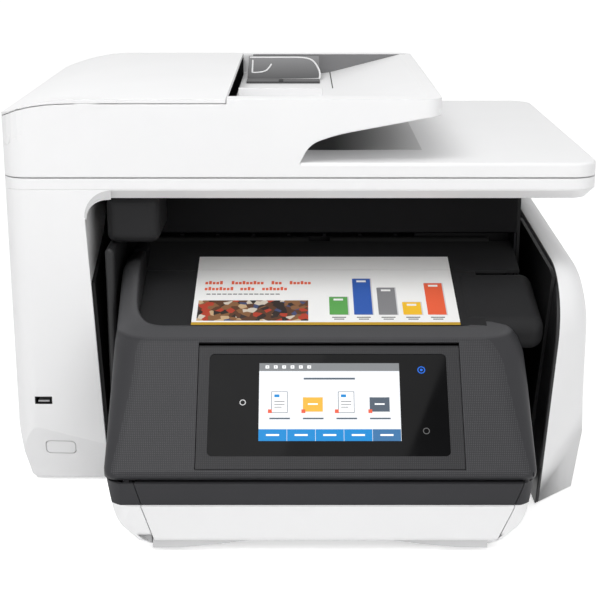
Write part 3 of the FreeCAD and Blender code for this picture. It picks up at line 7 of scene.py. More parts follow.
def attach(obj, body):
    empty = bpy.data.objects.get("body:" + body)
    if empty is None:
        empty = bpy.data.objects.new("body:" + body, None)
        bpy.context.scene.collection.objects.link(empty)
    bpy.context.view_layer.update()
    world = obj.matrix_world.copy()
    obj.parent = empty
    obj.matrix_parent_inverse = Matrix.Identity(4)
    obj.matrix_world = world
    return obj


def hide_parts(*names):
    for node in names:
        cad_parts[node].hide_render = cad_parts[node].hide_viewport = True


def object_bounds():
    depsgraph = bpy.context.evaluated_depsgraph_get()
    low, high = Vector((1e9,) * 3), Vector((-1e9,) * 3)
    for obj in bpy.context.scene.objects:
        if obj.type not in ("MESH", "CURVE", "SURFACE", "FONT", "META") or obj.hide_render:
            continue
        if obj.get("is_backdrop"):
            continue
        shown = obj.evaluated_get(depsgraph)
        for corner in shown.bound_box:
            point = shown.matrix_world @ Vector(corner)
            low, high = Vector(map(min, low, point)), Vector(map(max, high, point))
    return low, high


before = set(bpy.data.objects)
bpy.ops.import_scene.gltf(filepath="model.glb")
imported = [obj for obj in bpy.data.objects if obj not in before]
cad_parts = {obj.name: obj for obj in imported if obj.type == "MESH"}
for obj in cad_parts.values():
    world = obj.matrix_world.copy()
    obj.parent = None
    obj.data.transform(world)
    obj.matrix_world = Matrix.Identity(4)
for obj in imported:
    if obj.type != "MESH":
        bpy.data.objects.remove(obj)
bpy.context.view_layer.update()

# Base frame, bulkhead and print engine mouldings: the carcass that everything else is screwed to.
# Black glass-filled plastic, moulded with a dull spark-eroded grain.
def moulded_grain():
    """The fine grain of an injection mould: a pitted height and a faint cloudy mottle."""
    group = bpy.data.node_groups.new("moulded grain", "ShaderNodeTree")
    for label in ("Scale", "Mottle Scale"):
        group.interface.new_socket(label, in_out="INPUT", socket_type="NodeSocketFloat")
    for label in ("Height", "Mottle"):
        group.interface.new_socket(label, in_out="OUTPUT", socket_type="NodeSocketFloat")
    entry = group.nodes.new("NodeGroupInput")
    out = group.nodes.new("NodeGroupOutput")
    place = group.nodes.new("ShaderNodeTexCoord")
    pits = group.nodes.new("ShaderNodeTexNoise")
    pits.inputs["Detail"].default_value = 3.0
    cloud = group.nodes.new("ShaderNodeTexNoise")
    cloud.inputs["Detail"].default_value = 4.0
    group.links.new(place.outputs["Object"], pits.inputs["Vector"])
    group.links.new(place.outputs["Object"], cloud.inputs["Vector"])
    group.links.new(entry.outputs["Scale"], pits.inputs["Scale"])
    group.links.new(entry.outputs["Mottle Scale"], cloud.inputs["Scale"])
    group.links.new(pits.outputs["Fac"], out.inputs["Height"])
    group.links.new(cloud.outputs["Fac"], out.inputs["Mottle"])
    return group


GRAIN = moulded_grain()


def moulded(name, colour, roughness, grain=2600.0, depth=0.06, mottle=0.04, shine=0.5, soft_edge=0.0):
    """A moulded plastic: its colour and gloss drift a little, and its surface is finely pitted."""
    material = bpy.data.materials.new(name)
    material.use_nodes = True
    nodes, links = material.node_tree.nodes, material.node_tree.links
    shader = nodes["Principled BSDF"]
    texture = nodes.new("ShaderNodeGroup")
    texture.name = "grain"
    texture.node_tree = GRAIN
    texture.inputs["Scale"].default_value = grain
    texture.inputs["Mottle Scale"].default_value = 14.0
    shade = nodes.new("ShaderNodeValToRGB")
    shade.name = "shade"
    shade.color_ramp.elements[0].position = 0.3
    shade.color_ramp.elements[1].position = 0.7
    shade.color_ramp.elements[0].color = (*[channel * (1 - mottle) for channel in colour], 1)
    shade.color_ramp.elements[1].color = (*[min(1.0, channel * (1 + mottle)) for channel in colour], 1)
    polish = nodes.new("ShaderNodeMapRange")
    polish.inputs["To Min"].default_value = roughness - 0.04
    polish.inputs["To Max"].default_value = roughness + 0.04
    bump = nodes.new("ShaderNodeBump")
    bump.name = "bump"
    bump.inputs["Strength"].default_value = depth
    bump.inputs["Distance"].default_value = 0.0002
    links.new(texture.outputs["Mottle"], shade.inputs["Fac"])
    links.new(shade.outputs["Color"], shader.inputs["Base Color"])
    links.new(texture.outputs["Mottle"], polish.inputs["Value"])
    links.new(polish.outputs["Result"], shader.inputs["Roughness"])
    links.new(texture.outputs["Height"], bump.inputs["Height"])
    links.new(bump.outputs["Normal"], shader.inputs["Normal"])
    if soft_edge:
        edge = nodes.new("ShaderNodeBevel")
        edge.samples = 6
        edge.inputs["Radius"].default_value = soft_edge
        links.new(edge.outputs["Normal"], bump.inputs["Normal"])
    shader.inputs["Specular IOR Level"].default_value = shine
    return material


def dress(material, *names):
    """Give CAD nodes their finish."""
    for name in names:
        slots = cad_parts[name].data.materials
        slots.clear()
        slots.append(material)


black_inside = moulded("black inside", (0.010, 0.010, 0.011), 0.55, shine=0.2)
dress(black_inside, "base_frame", "front_bulkhead", "platen", "service_station", "carriage",
      "rear_paper_guide", "scan_bar", "power_supply")
dress(moulded("ink cases", (0.02, 0.02, 0.023), 0.3, shine=0.25), "ink_cartridges")

# Side frames, rails, rods, pulleys, motor and hinge hardware, and the main board beside them.
# Zinc-plated or blackened sheet and ground rod with a faint drawn grain, screwed and staked in place.
def plated(name, colour, roughness):
    """A plated metal with a faint grain."""
    material = moulded(name, colour, roughness, grain=900.0, depth=0.1, mottle=0.08)
    material.node_tree.nodes["Principled BSDF"].inputs["Metallic"].default_value = 1.0
    return material


dress(plated("plated steel", (0.50, 0.50, 0.51), 0.38), "guide_rods", "carriage_motor",
      "lid_hinge_brackets", "drive_pulley", "idler_pulley")
dress(plated("blackened steel", (0.02, 0.02, 0.022), 0.55), "hinge_pins", "side_frames", "rear_rail")
dress(moulded("green board", (0.02, 0.13, 0.05), 0.4, grain=400.0, depth=0.2, mottle=0.25), "main_board")

# Rubber: the feet under the base, the sleeves of every paper roller and the toothed belt.
# Soft moulded rubber with a dull, slightly dusty skin.
rubber = moulded("dull rubber", (0.022, 0.022, 0.022), 0.8, grain=1200.0, depth=0.25, mottle=0.15,
                 shine=0.2)
dress(rubber, "rubber_feet", "feed_roller", "exit_roller", "pick_roller", "feeder_pick_roller",
      "feeder_feed_roller", "carriage_belt")

# Paper tray with its two width guides and the length stop.
# Black moulded plastic; the guides run in the tray floor and are set by hand.
dress(moulded("tray black", (0.014, 0.014, 0.015), 0.5, grain=1500.0, depth=0.1, shine=0.25),
      "paper_tray", "tray_guide_left", "tray_guide_right", "tray_length_guide")

# White covers: the tower, the wing, the scanner ring, the feeder cover and the skirt of the nose.
# One satin white plastic with a very fine grain and softened edges.
def satin_white(name, soft_edge=0.0):
    """The white plastic of the covers."""
    return moulded(name, (0.86, 0.86, 0.865), 0.42, grain=3200.0, depth=0.03, mottle=0.01, shine=0.35,
                   soft_edge=soft_edge)


white_shell = satin_white("white shell", soft_edge=0.0012)
dress(white_shell, "left_side_cover", "right_side_cover", "scanner_housing", "scanner_pan", "feeder_cover",
      "cheek_skirts", "tray_front_panel", "document_guide_front", "backing_pad", "power_button")

# Right wing: the low side cover, its top and front rolled into one soft shoulder.
# White moulded shell, hooked to the base and screwed from behind; its inner face is black.
def finished(shape, name, *materials):
    """Turn a bmesh into a piece with its finishes."""
    mesh = bpy.data.meshes.new(name)
    shape.to_mesh(mesh)
    shape.free()
    for material in materials:
        mesh.materials.append(material)
    piece = bpy.data.objects.new(name, mesh)
    bpy.context.scene.collection.objects.link(piece)
    return piece


def masked(material, colour_from, mask, inner):
    """Where the mask is on, the plastic takes the inner colour."""
    nodes, links = material.node_tree.nodes, material.node_tree.links
    swap = nodes.new("ShaderNodeMix")
    swap.data_type = "RGBA"
    swap.inputs["B"].default_value = (*inner, 1)
    links.new(mask, swap.inputs["Factor"])
    links.new(colour_from, swap.inputs["A"])
    links.new(swap.outputs["Result"], nodes["Principled BSDF"].inputs["Base Color"])
    return swap.outputs["Result"]


def step(material, value, edge, width):
    """A soft step up from 0 to 1 at an edge."""
    nodes, links = material.node_tree.nodes, material.node_tree.links
    ramp = nodes.new("ShaderNodeMapRange")
    ramp.inputs["From Min"].default_value = edge - width / 2
    ramp.inputs["From Max"].default_value = edge + width / 2
    links.new(value, ramp.inputs["Value"])
    return ramp.outputs["Result"]


def object_place(material):
    """The place on the piece, as its material reads it."""
    return material.node_tree.nodes.new("ShaderNodeTexCoord").outputs["Object"]


def vector_math(nodes, operation, second=(0.0, 0.0, 0.0)):
    """A vector sum, whose second value may be fixed."""
    node = nodes.new("ShaderNodeVectorMath")
    node.operation = operation
    node.inputs[1].default_value = second
    return node


def soften(shape, edges, radius, segments):
    """Round some edges of a shape."""
    bmesh.ops.bevel(shape, geom=edges, offset=radius, offset_type="OFFSET", segments=segments, profile=0.5,
                    affect="EDGES", material=-1)


WING_FOOT, WING_REAR, WING_SIDE = 0.0025, 0.252, 0.2500
WING_LEAN, WING_INNER, WING_WALL = 0.0843, 0.20079, 0.0036
WING_ROLL, WING_OUTER_ROUND, WING_INNER_ROUND = 0.0498, 0.024, 0.005
TUCK_HEIGHT = 0.078
wing = bmesh.new()
bmesh.ops.create_cube(wing, size=1.0)
WING_CORNERS = {(-1, -1, -1): (0.2010, -0.1720, WING_FOOT), (1, -1, -1): (0.2390, -0.1350, WING_FOOT),
                (1, 1, -1): (0.2390, WING_REAR, WING_FOOT), (-1, 1, -1): (0.2010, WING_REAR, WING_FOOT),
                (-1, -1, 1): (0.2171, -0.1600, 0.1930), (1, -1, 1): (WING_SIDE, -0.1260, 0.1942),
                (1, 1, 1): (WING_SIDE, WING_REAR, 0.2080), (-1, 1, 1): (0.2183, WING_REAR, 0.2080)}
for corner in wing.verts:
    corner.co = WING_CORNERS[tuple(1 if value > 0 else -1 for value in corner.co)]
TUCK_PLACE, TUCK_NORMAL = Vector((WING_SIDE, 0, TUCK_HEIGHT)), Vector((-0.70, 0, 0.714)).normalized()
bmesh.ops.bisect_plane(wing, geom=wing.verts[:] + wing.edges[:] + wing.faces[:], dist=1e-6,
                       plane_co=TUCK_PLACE, plane_no=TUCK_NORMAL)


def on_tuck(place):
    """On the crease where the wing's side tucks in."""
    return abs((place - TUCK_PLACE).dot(TUCK_NORMAL)) < 0.0015


def on_inner(place):
    """On the wing's inner face."""
    return abs(place.x - WING_INNER - place.z * WING_LEAN) < 0.001


def picked(shape, test):
    """The edges whose two ends both pass a test."""
    return [edge for edge in shape.edges if all(test(end.co) for end in edge.verts)]


for corner in wing.verts:
    if on_tuck(corner.co) and corner.co.x > 0.22:
        corner.co = (WING_SIDE, corner.co.y, TUCK_HEIGHT)
soften(wing, picked(wing, lambda end: end.z > 0.19 and end.y < 0), WING_ROLL, segments=12)


def on_front_or_top(place):
    """Clear of the wing's foot and of its rear end."""
    return place.z > WING_FOOT + 0.001 and (place.y < 0.25 or place.z > 0.2)


wing_edges = [edge for edge in picked(wing, on_front_or_top) if len(edge.link_faces) == 2]
outer_edges = [edge for edge in wing_edges if all(end.co.x > 0.2375 for end in edge.verts)]
inner_edges = [edge for edge in wing_edges
               if all(on_inner(end.co) and (end.co.y < -0.09 or end.co.z > 0.18) for end in edge.verts)]
soften(wing, outer_edges, WING_OUTER_ROUND, segments=8)
soften(wing, [edge for edge in inner_edges if edge.is_valid], WING_INNER_ROUND, segments=4)
for face in wing.faces:
    face.smooth = True
for edge in picked(wing, on_tuck):
    edge.smooth = False
wing_white = satin_white("wing white")
wing_depth = vector_math(wing_white.node_tree.nodes, "DOT_PRODUCT", (-1.0, 0.0, WING_LEAN))
wing_white.node_tree.links.new(object_place(wing_white), wing_depth.inputs[0])
masked(wing_white, wing_white.node_tree.nodes["shade"].outputs["Color"],
       step(wing_white, wing_depth.outputs["Value"], -WING_INNER - WING_WALL, 0.0004), (0.010, 0.010, 0.011))
wing_cover = finished(wing, "wing_cover", wing_white)
wing_cover.modifiers.new("even shading", "WEIGHTED_NORMAL").keep_sharp = True
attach(wing_cover, "chassis")
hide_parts("right_side_cover")

# Dark inner walls and hood round the output space, and the black shells of two sockets.
# Black plastic with a slightly coarser grain than the outside, clipped to the side frames.
liner_black = moulded("liner black", (0.0085, 0.0085, 0.009), 0.5, grain=1800.0, depth=0.1, shine=0.14)
dress(liner_black, "left_liner", "right_liner", "engine_hood", "engine_side_cover", "memory_port",
      "mains_inlet")

# Exit shroud: the plain black wall over the paper slot, with a box at its left end,
# the rolled edge of the left wall and the rear end of the door's rim.
# Moulded plastic, hung from the scanner pan and screwed to the left side frame.
def block(name, low, high, material, body, edge, segments=2):
    """A slab between two corners with softened edges."""
    shape = bmesh.new()
    bmesh.ops.create_cube(shape, size=1.0)
    bmesh.ops.scale(shape, vec=Vector(high) - Vector(low), verts=shape.verts)
    bmesh.ops.translate(shape, vec=(Vector(high) + Vector(low)) / 2, verts=shape.verts)
    soften(shape, shape.edges[:], edge, segments)
    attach(finished(shape, name, material), body)


shroud_black = moulded("shroud black", (0.005, 0.005, 0.0055), 0.65, grain=1800.0, depth=0.1, shine=0.08)
block("exit_shroud", (-0.1615, -0.0362, 0.2085), (0.1975, -0.0334, 0.2578), shroud_black, "chassis",
      edge=0.001)
block("shroud_box", (-0.1652, -0.1120, 0.2165), (-0.1200, -0.0365, 0.2576),
      moulded("shroud charcoal", (0.018, 0.018, 0.019), 0.55, shine=0.15), "chassis", edge=0.008, segments=5)
block("liner_roll", (-0.1652, -0.1290, 0.0720), (-0.1570, -0.0420, 0.2160),
      moulded("liner roll black", (0.014, 0.014, 0.015), 0.42, shine=0.3), "chassis", edge=0.004, segments=5)
block("rim_rear", (-0.1490, -0.0675, 0.1790), (-0.1365, -0.0370, 0.2010), shroud_black, "chassis",
      edge=0.004, segments=4)

# Rear cover with its access door and sockets, and the frame round the scanner glass.
# Charcoal plastic, moulded and clipped on.
charcoal = moulded("charcoal shell", (0.036, 0.036, 0.039), 0.48, grain=1500.0, depth=0.08, shine=0.15,
                   soft_edge=0.0008)
dress(charcoal, "rear_cover", "rear_access_door", "port_panel", "glass_frame")

# Band of the nose: the dark strip above the white skirt, one part on the tray and one on each cheek.
# The same charcoal plastic, clipped over the skirt.
dress(charcoal, "cheek_bands", "tray_front_band")

# Front door: the leaning face, the rolled lip and the front of the output floor in one moulding.
# Charcoal plastic; the face carries rows of fine raised dots. The rolled lip is painted lighter as a painted
# sheen, and behind the lip the colour fades to near-black as painted shade under the strip above.
LEAN = radians(42.8)
FACE_FOOT = Vector((0.0, -0.262, 0.0646))
FACE_FRAME = Matrix.Translation(FACE_FOOT) @ Matrix.Rotation(pi / 2 - LEAN, 4, "X")
FACE_TURN = Matrix.Rotation(LEAN, 3, "X")


def raised_dots():
    """Rows of dots in the plane of the leaning face, and the place measured from that plane."""
    group = bpy.data.node_groups.new("raised dots", "ShaderNodeTree")
    group.interface.new_socket("Rows per Metre", in_out="INPUT", socket_type="NodeSocketFloat")
    group.interface.new_socket("Dots", in_out="OUTPUT", socket_type="NodeSocketFloat")
    group.interface.new_socket("Place", in_out="OUTPUT", socket_type="NodeSocketVector")
    nodes, links = group.nodes, group.links
    entry = nodes.new("NodeGroupInput")
    out = nodes.new("NodeGroupOutput")
    place = nodes.new("ShaderNodeTexCoord")
    on_face = nodes.new("ShaderNodeMapping")
    on_face.inputs["Rotation"].default_value = (LEAN, 0, 0)
    on_face.inputs["Location"].default_value = -(FACE_TURN @ FACE_FOOT)
    rows = vector_math(nodes, "SCALE")
    cell = vector_math(nodes, "FRACTION")
    centred = vector_math(nodes, "SUBTRACT", (0.5, 0.5, 0.5))
    flat = vector_math(nodes, "MULTIPLY", (1, 0, 1))
    reach = vector_math(nodes, "LENGTH")
    dome = nodes.new("ShaderNodeMapRange")
    dome.interpolation_type = "SMOOTHSTEP"
    dome.inputs["From Min"].default_value = 0.16
    dome.inputs["From Max"].default_value = 0.34
    dome.inputs["To Min"].default_value = 1.0
    dome.inputs["To Max"].default_value = 0.0
    parts = nodes.new("ShaderNodeSeparateXYZ")
    near = nodes.new("ShaderNodeMath")
    near.operation = "COMPARE"
    near.inputs[1].default_value = 0.0
    near.inputs[2].default_value = 0.0012
    kept = nodes.new("ShaderNodeMath")
    kept.operation = "MULTIPLY"
    links.new(place.outputs["Object"], on_face.inputs["Vector"])
    links.new(on_face.outputs["Vector"], rows.inputs[0])
    links.new(entry.outputs["Rows per Metre"], rows.inputs["Scale"])
    links.new(rows.outputs["Vector"], cell.inputs[0])
    links.new(cell.outputs["Vector"], centred.inputs[0])
    links.new(centred.outputs["Vector"], flat.inputs[0])
    links.new(flat.outputs["Vector"], reach.inputs[0])
    links.new(reach.outputs["Value"], dome.inputs["Value"])
    links.new(on_face.outputs["Vector"], parts.inputs["Vector"])
    links.new(parts.outputs["Y"], near.inputs[0])
    links.new(dome.outputs["Result"], kept.inputs[0])
    links.new(near.outputs["Value"], kept.inputs[1])
    links.new(kept.outputs["Value"], out.inputs["Dots"])
    links.new(on_face.outputs["Vector"], out.inputs["Place"])
    return group


DOTS = raised_dots()
DOT_PITCH = 0.0015


def dotted(name, colour, dot_colour):
    """Charcoal plastic with the dotted face; returns the material and its dot and colour nodes."""
    material = moulded(name, colour, 0.46, grain=1700.0, depth=0.07, shine=0.15, soft_edge=0.0008)
    nodes, links = material.node_tree.nodes, material.node_tree.links
    dots = nodes.new("ShaderNodeGroup")
    dots.node_tree = DOTS
    dots.inputs["Rows per Metre"].default_value = 1 / DOT_PITCH
    tint = nodes.new("ShaderNodeMix")
    tint.data_type = "RGBA"
    tint.inputs["B"].default_value = (*dot_colour, 1)
    links.new(dots.outputs["Dots"], tint.inputs["Factor"])
    links.new(nodes["shade"].outputs["Color"], tint.inputs["A"])
    links.new(tint.outputs["Result"], nodes["Principled BSDF"].inputs["Base Color"])
    raised = nodes.new("ShaderNodeBump")
    raised.inputs["Strength"].default_value = 0.25
    raised.inputs["Distance"].default_value = 0.0003
    links.new(dots.outputs["Dots"], raised.inputs["Height"])
    links.new(nodes["bump"].outputs["Normal"], raised.inputs["Normal"])
    links.new(raised.outputs["Normal"], nodes["Principled BSDF"].inputs["Normal"])
    return material, dots, tint


def along(material, place, axis):
    """How far a place lies along one axis."""
    parts = material.node_tree.nodes.new("ShaderNodeSeparateXYZ")
    material.node_tree.links.new(place, parts.inputs["Vector"])
    return parts.outputs[axis]


door_look, _, door_tint = dotted("door charcoal", (0.036, 0.036, 0.039), (0.078, 0.078, 0.082))
door_height = along(door_look, object_place(door_look), "Z")
door_depth = along(door_look, object_place(door_look), "Y")
# Painted sheen: the rolled lip is painted lighter than the face.
lip_painted_sheen = masked(door_look, door_tint.outputs["Result"], step(door_look, door_height, 0.1528, 0.0016),
                  (0.072, 0.072, 0.076))
# Painted shade: behind the lip the door fades to near-black, the shade under the strip above.
masked(door_look, lip_painted_sheen, step(door_look, door_depth, -0.125, 0.06), (0.012, 0.012, 0.0125))
dress(door_look, "front_door")
DOOR_LEFT, DOOR_RIGHT, DOOR_END, DOOR_WALL = -0.155, 0.187, -0.069, 0.0025
NOSE_FRONT, NOSE_ROUND = -0.2552, 0.026
RIM_START, RIM_RUN, RIM_RISE, RIGHT_SLOPE = -0.165, 0.065, 0.042, 0.12
DOOR_RINGS = ((NOSE_FRONT, 0.0599, 0.0, 0.0, 0, 0.012), (-0.2585, 0.0613, 0.0, 0.0, 0, 0.012),
              (-0.2599, 0.0646, 0.0, 0.0, 0, 0.012), (-0.2589, 0.0680, 0.0, 0.0, 0, 0.012),
              (-0.2416, 0.0866, 0.0, 0.0, 0, 0.018),
              (-0.2144, 0.1160, 0.0, 0.0, 0, 0.026), (-0.1954, 0.1365, 0.0, 0.0012, 0.5, 0.030),
              (-0.1886, 0.1438, 0.0002, 0.0045, 0.75, 0.030), (-0.1835, 0.1493, 0.0018, 0.0089, 1, 0.030),
              (-0.1822, 0.1508, 0.0026, 0.0105, 1, 0.030), (-0.1803, 0.1523, 0.0038, 0.0124, 1, 0.030),
              (-0.1775, 0.1534, 0.0048, 0.0140, 1, 0.030), (-0.1640, 0.1572, 0.0110, 0.0230, 1, 0.026),
              (-0.1610, 0.1579, 0.0160, 0.0300, 1, 0.024), (-0.1594, 0.1570, 0.0180, 0.0310, 1, 0.023),
              (-0.1588, 0.1500, 0.0190, 0.0320, 0, 0.022))
door = bmesh.new()
door_plan = [door.verts.new(place) for place in ((DOOR_LEFT, DOOR_END, 0), (DOOR_LEFT, NOSE_FRONT, 0),
                                                 (DOOR_RIGHT, NOSE_FRONT, 0), (DOOR_RIGHT, DOOR_END, 0))]
for first, second in zip(door_plan, door_plan[1:]):
    door.edges.new((first, second))
bmesh.ops.bevel(door, geom=door_plan[1:3], offset=NOSE_ROUND, offset_type="OFFSET", segments=10, profile=0.5,
                affect="VERTICES", material=-1)
door_arms = [edge for edge in door.edges if abs(edge.verts[0].co.y - edge.verts[1].co.y) > 0.05]
bmesh.ops.subdivide_edges(door, edges=door_arms, cuts=7)
door_plan = {vert: vert.co.copy() for vert in door.verts}


def place_ring(plan, ring):
    """Set one level of the door: front, height, both insets, climb of its rim and corner radius."""
    front, height, left, right, climb, corner = ring
    arm = NOSE_FRONT + NOSE_ROUND
    for vert, start in plan.items():
        if start.y > arm - 1e-6:
            share = (start.y - arm) / (DOOR_END - arm)
            back = front + corner + share * (DOOR_END - front - corner)
        else:
            back = front + (start.y - NOSE_FRONT) * corner / NOSE_ROUND
        if start.x < 0:
            side = DOOR_LEFT + left + (start.x - DOOR_LEFT) * corner / NOSE_ROUND
            bend = min(max((back - RIM_START) / RIM_RUN, 0), 1)
            rise = RIM_RISE * bend * bend * (3 - 2 * bend)
        else:
            side = DOOR_RIGHT - right - (DOOR_RIGHT - start.x) * corner / NOSE_ROUND
            rise = (back - front) * RIGHT_SLOPE
        vert.co = (side, back, height + climb * rise)


place_ring(door_plan, DOOR_RINGS[0])
ring_edges = door.edges[:]
for ring in DOOR_RINGS[1:]:
    grown = bmesh.ops.extrude_edge_only(door, edges=ring_edges)["geom"]
    ring_edges = [item for item in grown if isinstance(item, bmesh.types.BMEdge)]
    raised_plan = {}
    for vert in (item for item in grown if isinstance(item, bmesh.types.BMVert)):
        below = next(edge.other_vert(vert) for edge in vert.link_edges if edge not in ring_edges)
        raised_plan[vert] = door_plan[below]
    door_plan = raised_plan
    place_ring(door_plan, ring)
bmesh.ops.recalc_face_normals(door, faces=door.faces[:])
face_normal = FACE_FRAME.to_3x3() @ Vector((0, 0, 1))
POCKET = ((-0.0829, 0.0065), (0.1303, 0.1170))
to_face = FACE_FRAME.inverted()


def on_leaning_face(face):
    """Flat in the plane of the dotted face."""
    return abs((to_face @ face.calc_center_median()).z) < 0.0006 and abs(face.normal.dot(face_normal)) > 0.99


for axis in (0, 1):
    for corner in POCKET:
        flat_faces = [face for face in door.faces if on_leaning_face(face)]
        cut_place = FACE_FRAME @ Vector((*corner, 0))
        bmesh.ops.bisect_plane(door, dist=1e-6, plane_co=cut_place, plane_no=FACE_FRAME.to_3x3().col[axis],
                               geom=flat_faces + list({part for face in flat_faces for part in face.edges})
                               + list({part for face in flat_faces for part in face.verts}))


def in_pocket(face):
    """In the part of the face that the control panel fills."""
    middle = to_face @ face.calc_center_median()
    return on_leaning_face(face) and all(POCKET[0][axis] < middle[axis] < POCKET[1][axis] for axis in (0, 1))


bmesh.ops.delete(door, geom=[face for face in door.faces if in_pocket(face)], context="FACES")
for face in door.faces:
    face.smooth = not on_leaning_face(face)
if sum(face.normal.dot(face_normal) for face in door.faces if on_leaning_face(face)) < 0:
    bmesh.ops.reverse_faces(door, faces=door.faces[:])
door_shell = finished(door, "door_shell", door_look)
door_wall = door_shell.modifiers.new("wall", "SOLIDIFY")
door_wall.thickness = DOOR_WALL
door_wall.offset = -1.0
door_shell.modifiers.new("even shading", "WEIGHTED_NORMAL").keep_sharp = True
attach(door_shell, "door")
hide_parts("front_door")

# Floor of the output tray: the front part swings with the door, the rest stays in the printer.
# Black grained plastic with a shallow step along the right, moulded in one with the door.
LIP_Y, LIP_Z = -0.16015, 0.15791
FLOOR_TILT = radians(14.2)
FLOOR_FRONT, FLOOR_BACK = -0.1592, -0.0682


def floor_plate(name, left, right, front, lift, thickness, edge, segments):
    """A plate of the door that lies on the sloping output floor."""
    plate = bmesh.new()
    run = (FLOOR_BACK - front) / cos(FLOOR_TILT)
    bmesh.ops.create_cube(plate, size=1.0)
    bmesh.ops.scale(plate, vec=(right - left, run, thickness), verts=plate.verts)
    bmesh.ops.translate(plate, vec=((left + right) / 2, run / 2, lift - thickness / 2), verts=plate.verts)
    soften(plate, plate.edges[:], edge, segments)
    for face in plate.faces:
        face.smooth = segments > 2
    start = Matrix.Translation((0, front, LIP_Z + (front - LIP_Y) * tan(FLOOR_TILT)))
    bmesh.ops.transform(plate, matrix=start @ Matrix.Rotation(FLOOR_TILT, 4, "X"), verts=plate.verts)
    piece = finished(plate, name, floor_black)
    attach(piece, "door")
    return piece


floor_black = moulded("floor black", (0.021, 0.021, 0.022), 0.6, grain=1800.0, depth=0.1, shine=0.1)
floor_plate("door_floor", -0.1365, 0.1560, FLOOR_FRONT, lift=0.0, thickness=0.0025, edge=0.0005, segments=2)
floor_shelf = floor_plate("floor_shelf", 0.1330, 0.2060, FLOOR_FRONT + 0.0027, lift=0.0006, thickness=0.0300,
                          edge=0.0115, segments=7)
floor_shelf.modifiers.new("even shading", "WEIGHTED_NORMAL")
dress(floor_black, "output_floor")

# Control panel: a frame flush with the face, pivoting on pins along its top edge.
# Charcoal plastic, a little darker than the door; the seat under the glass is printed black.
panel_look, panel_dots, panel_tint = dotted("panel charcoal", (0.026, 0.026, 0.028), (0.055, 0.055, 0.058))
panel_depth = along(panel_look, panel_dots.outputs["Place"], "Y")
masked(panel_look, panel_tint.outputs["Result"], step(panel_look, panel_depth, 0.0009, 0.0004),
       (0.0015, 0.0015, 0.0016))
dress(panel_look, "control_panel")

# Scanner glass and the panel's cover glass.
# Float glass with polished faces, the small one black with ink; both are bonded into their seats.
def glazed(name, colour, roughness, bending):
    """Clear glass with a faint film on it."""
    material = bpy.data.materials.new(name)
    material.use_nodes = True
    nodes, links = material.node_tree.nodes, material.node_tree.links
    shader = nodes["Principled BSDF"]
    texture = nodes.new("ShaderNodeGroup")
    texture.node_tree = GRAIN
    texture.inputs["Scale"].default_value = 60.0
    texture.inputs["Mottle Scale"].default_value = 8.0
    film = nodes.new("ShaderNodeMapRange")
    film.inputs["To Min"].default_value = roughness
    film.inputs["To Max"].default_value = roughness + 0.01
    links.new(texture.outputs["Mottle"], film.inputs["Value"])
    links.new(film.outputs["Result"], shader.inputs["Roughness"])
    shader.inputs["Base Color"].default_value = (*colour, 1)
    shader.inputs["Transmission Weight"].default_value = 1.0
    shader.inputs["IOR"].default_value = bending
    return material


dress(glazed("clear pane", (0.9, 0.95, 0.94), 0.01, 1.45), "scanner_glass")
dress(moulded("panel glass", (0.0035, 0.0035, 0.004), 0.05, grain=300.0, depth=0.0, mottle=0.3, shine=0.05),
      "touch_glass", "display")

# Display: the lit picture of the panel's own module, plain tiles over a row of buttons.
# A lit film on the black glass, bonded to it.
def printed(name, size, areas, inks, thickness, place):
    """A thin slab whose top is divided along the edges of its coloured areas."""
    width, height = size
    sheet = bmesh.new()
    bmesh.ops.create_grid(sheet, x_segments=1, y_segments=1, size=0.5)
    bmesh.ops.scale(sheet, vec=(width, height, 1), verts=sheet.verts)
    bmesh.ops.translate(sheet, vec=(width / 2, height / 2, 0), verts=sheet.verts)
    for axis in (0, 1):
        marks = sorted({round(area[axis + 2 * end], 6) for area, _ in areas for end in (0, 1)})
        normal = (1, 0, 0) if axis == 0 else (0, 1, 0)
        for mark in marks:
            if 0 < mark < size[axis]:
                bmesh.ops.bisect_plane(sheet, geom=sheet.verts[:] + sheet.edges[:] + sheet.faces[:],
                                       dist=1e-7, plane_co=Vector(normal) * mark, plane_no=normal)
    for face in sheet.faces:
        middle = face.calc_center_median()
        for (left, low, right, high), ink in areas:
            if left < middle.x < right and low < middle.y < high:
                face.material_index = ink
    skirt = bmesh.ops.extrude_face_region(sheet, geom=sheet.faces[:], use_keep_orig=True)
    lowered = [item for item in skirt["geom"] if isinstance(item, bmesh.types.BMVert)]
    bmesh.ops.translate(sheet, vec=(0, 0, -thickness), verts=lowered)
    bmesh.ops.recalc_face_normals(sheet, faces=sheet.faces[:])
    bmesh.ops.transform(sheet, matrix=place, verts=sheet.verts)
    return finished(sheet, name, *inks)


def lit(name, colour, glow):
    """A patch of the display that gives its own light."""
    material = moulded(name, [channel * 0.3 for channel in colour], 0.3, mottle=0.02, shine=0.1)
    shader = material.node_tree.nodes["Principled BSDF"]
    shader.inputs["Emission Color"].default_value = (*colour, 1)
    shader.inputs["Emission Strength"].default_value = glow
    return material


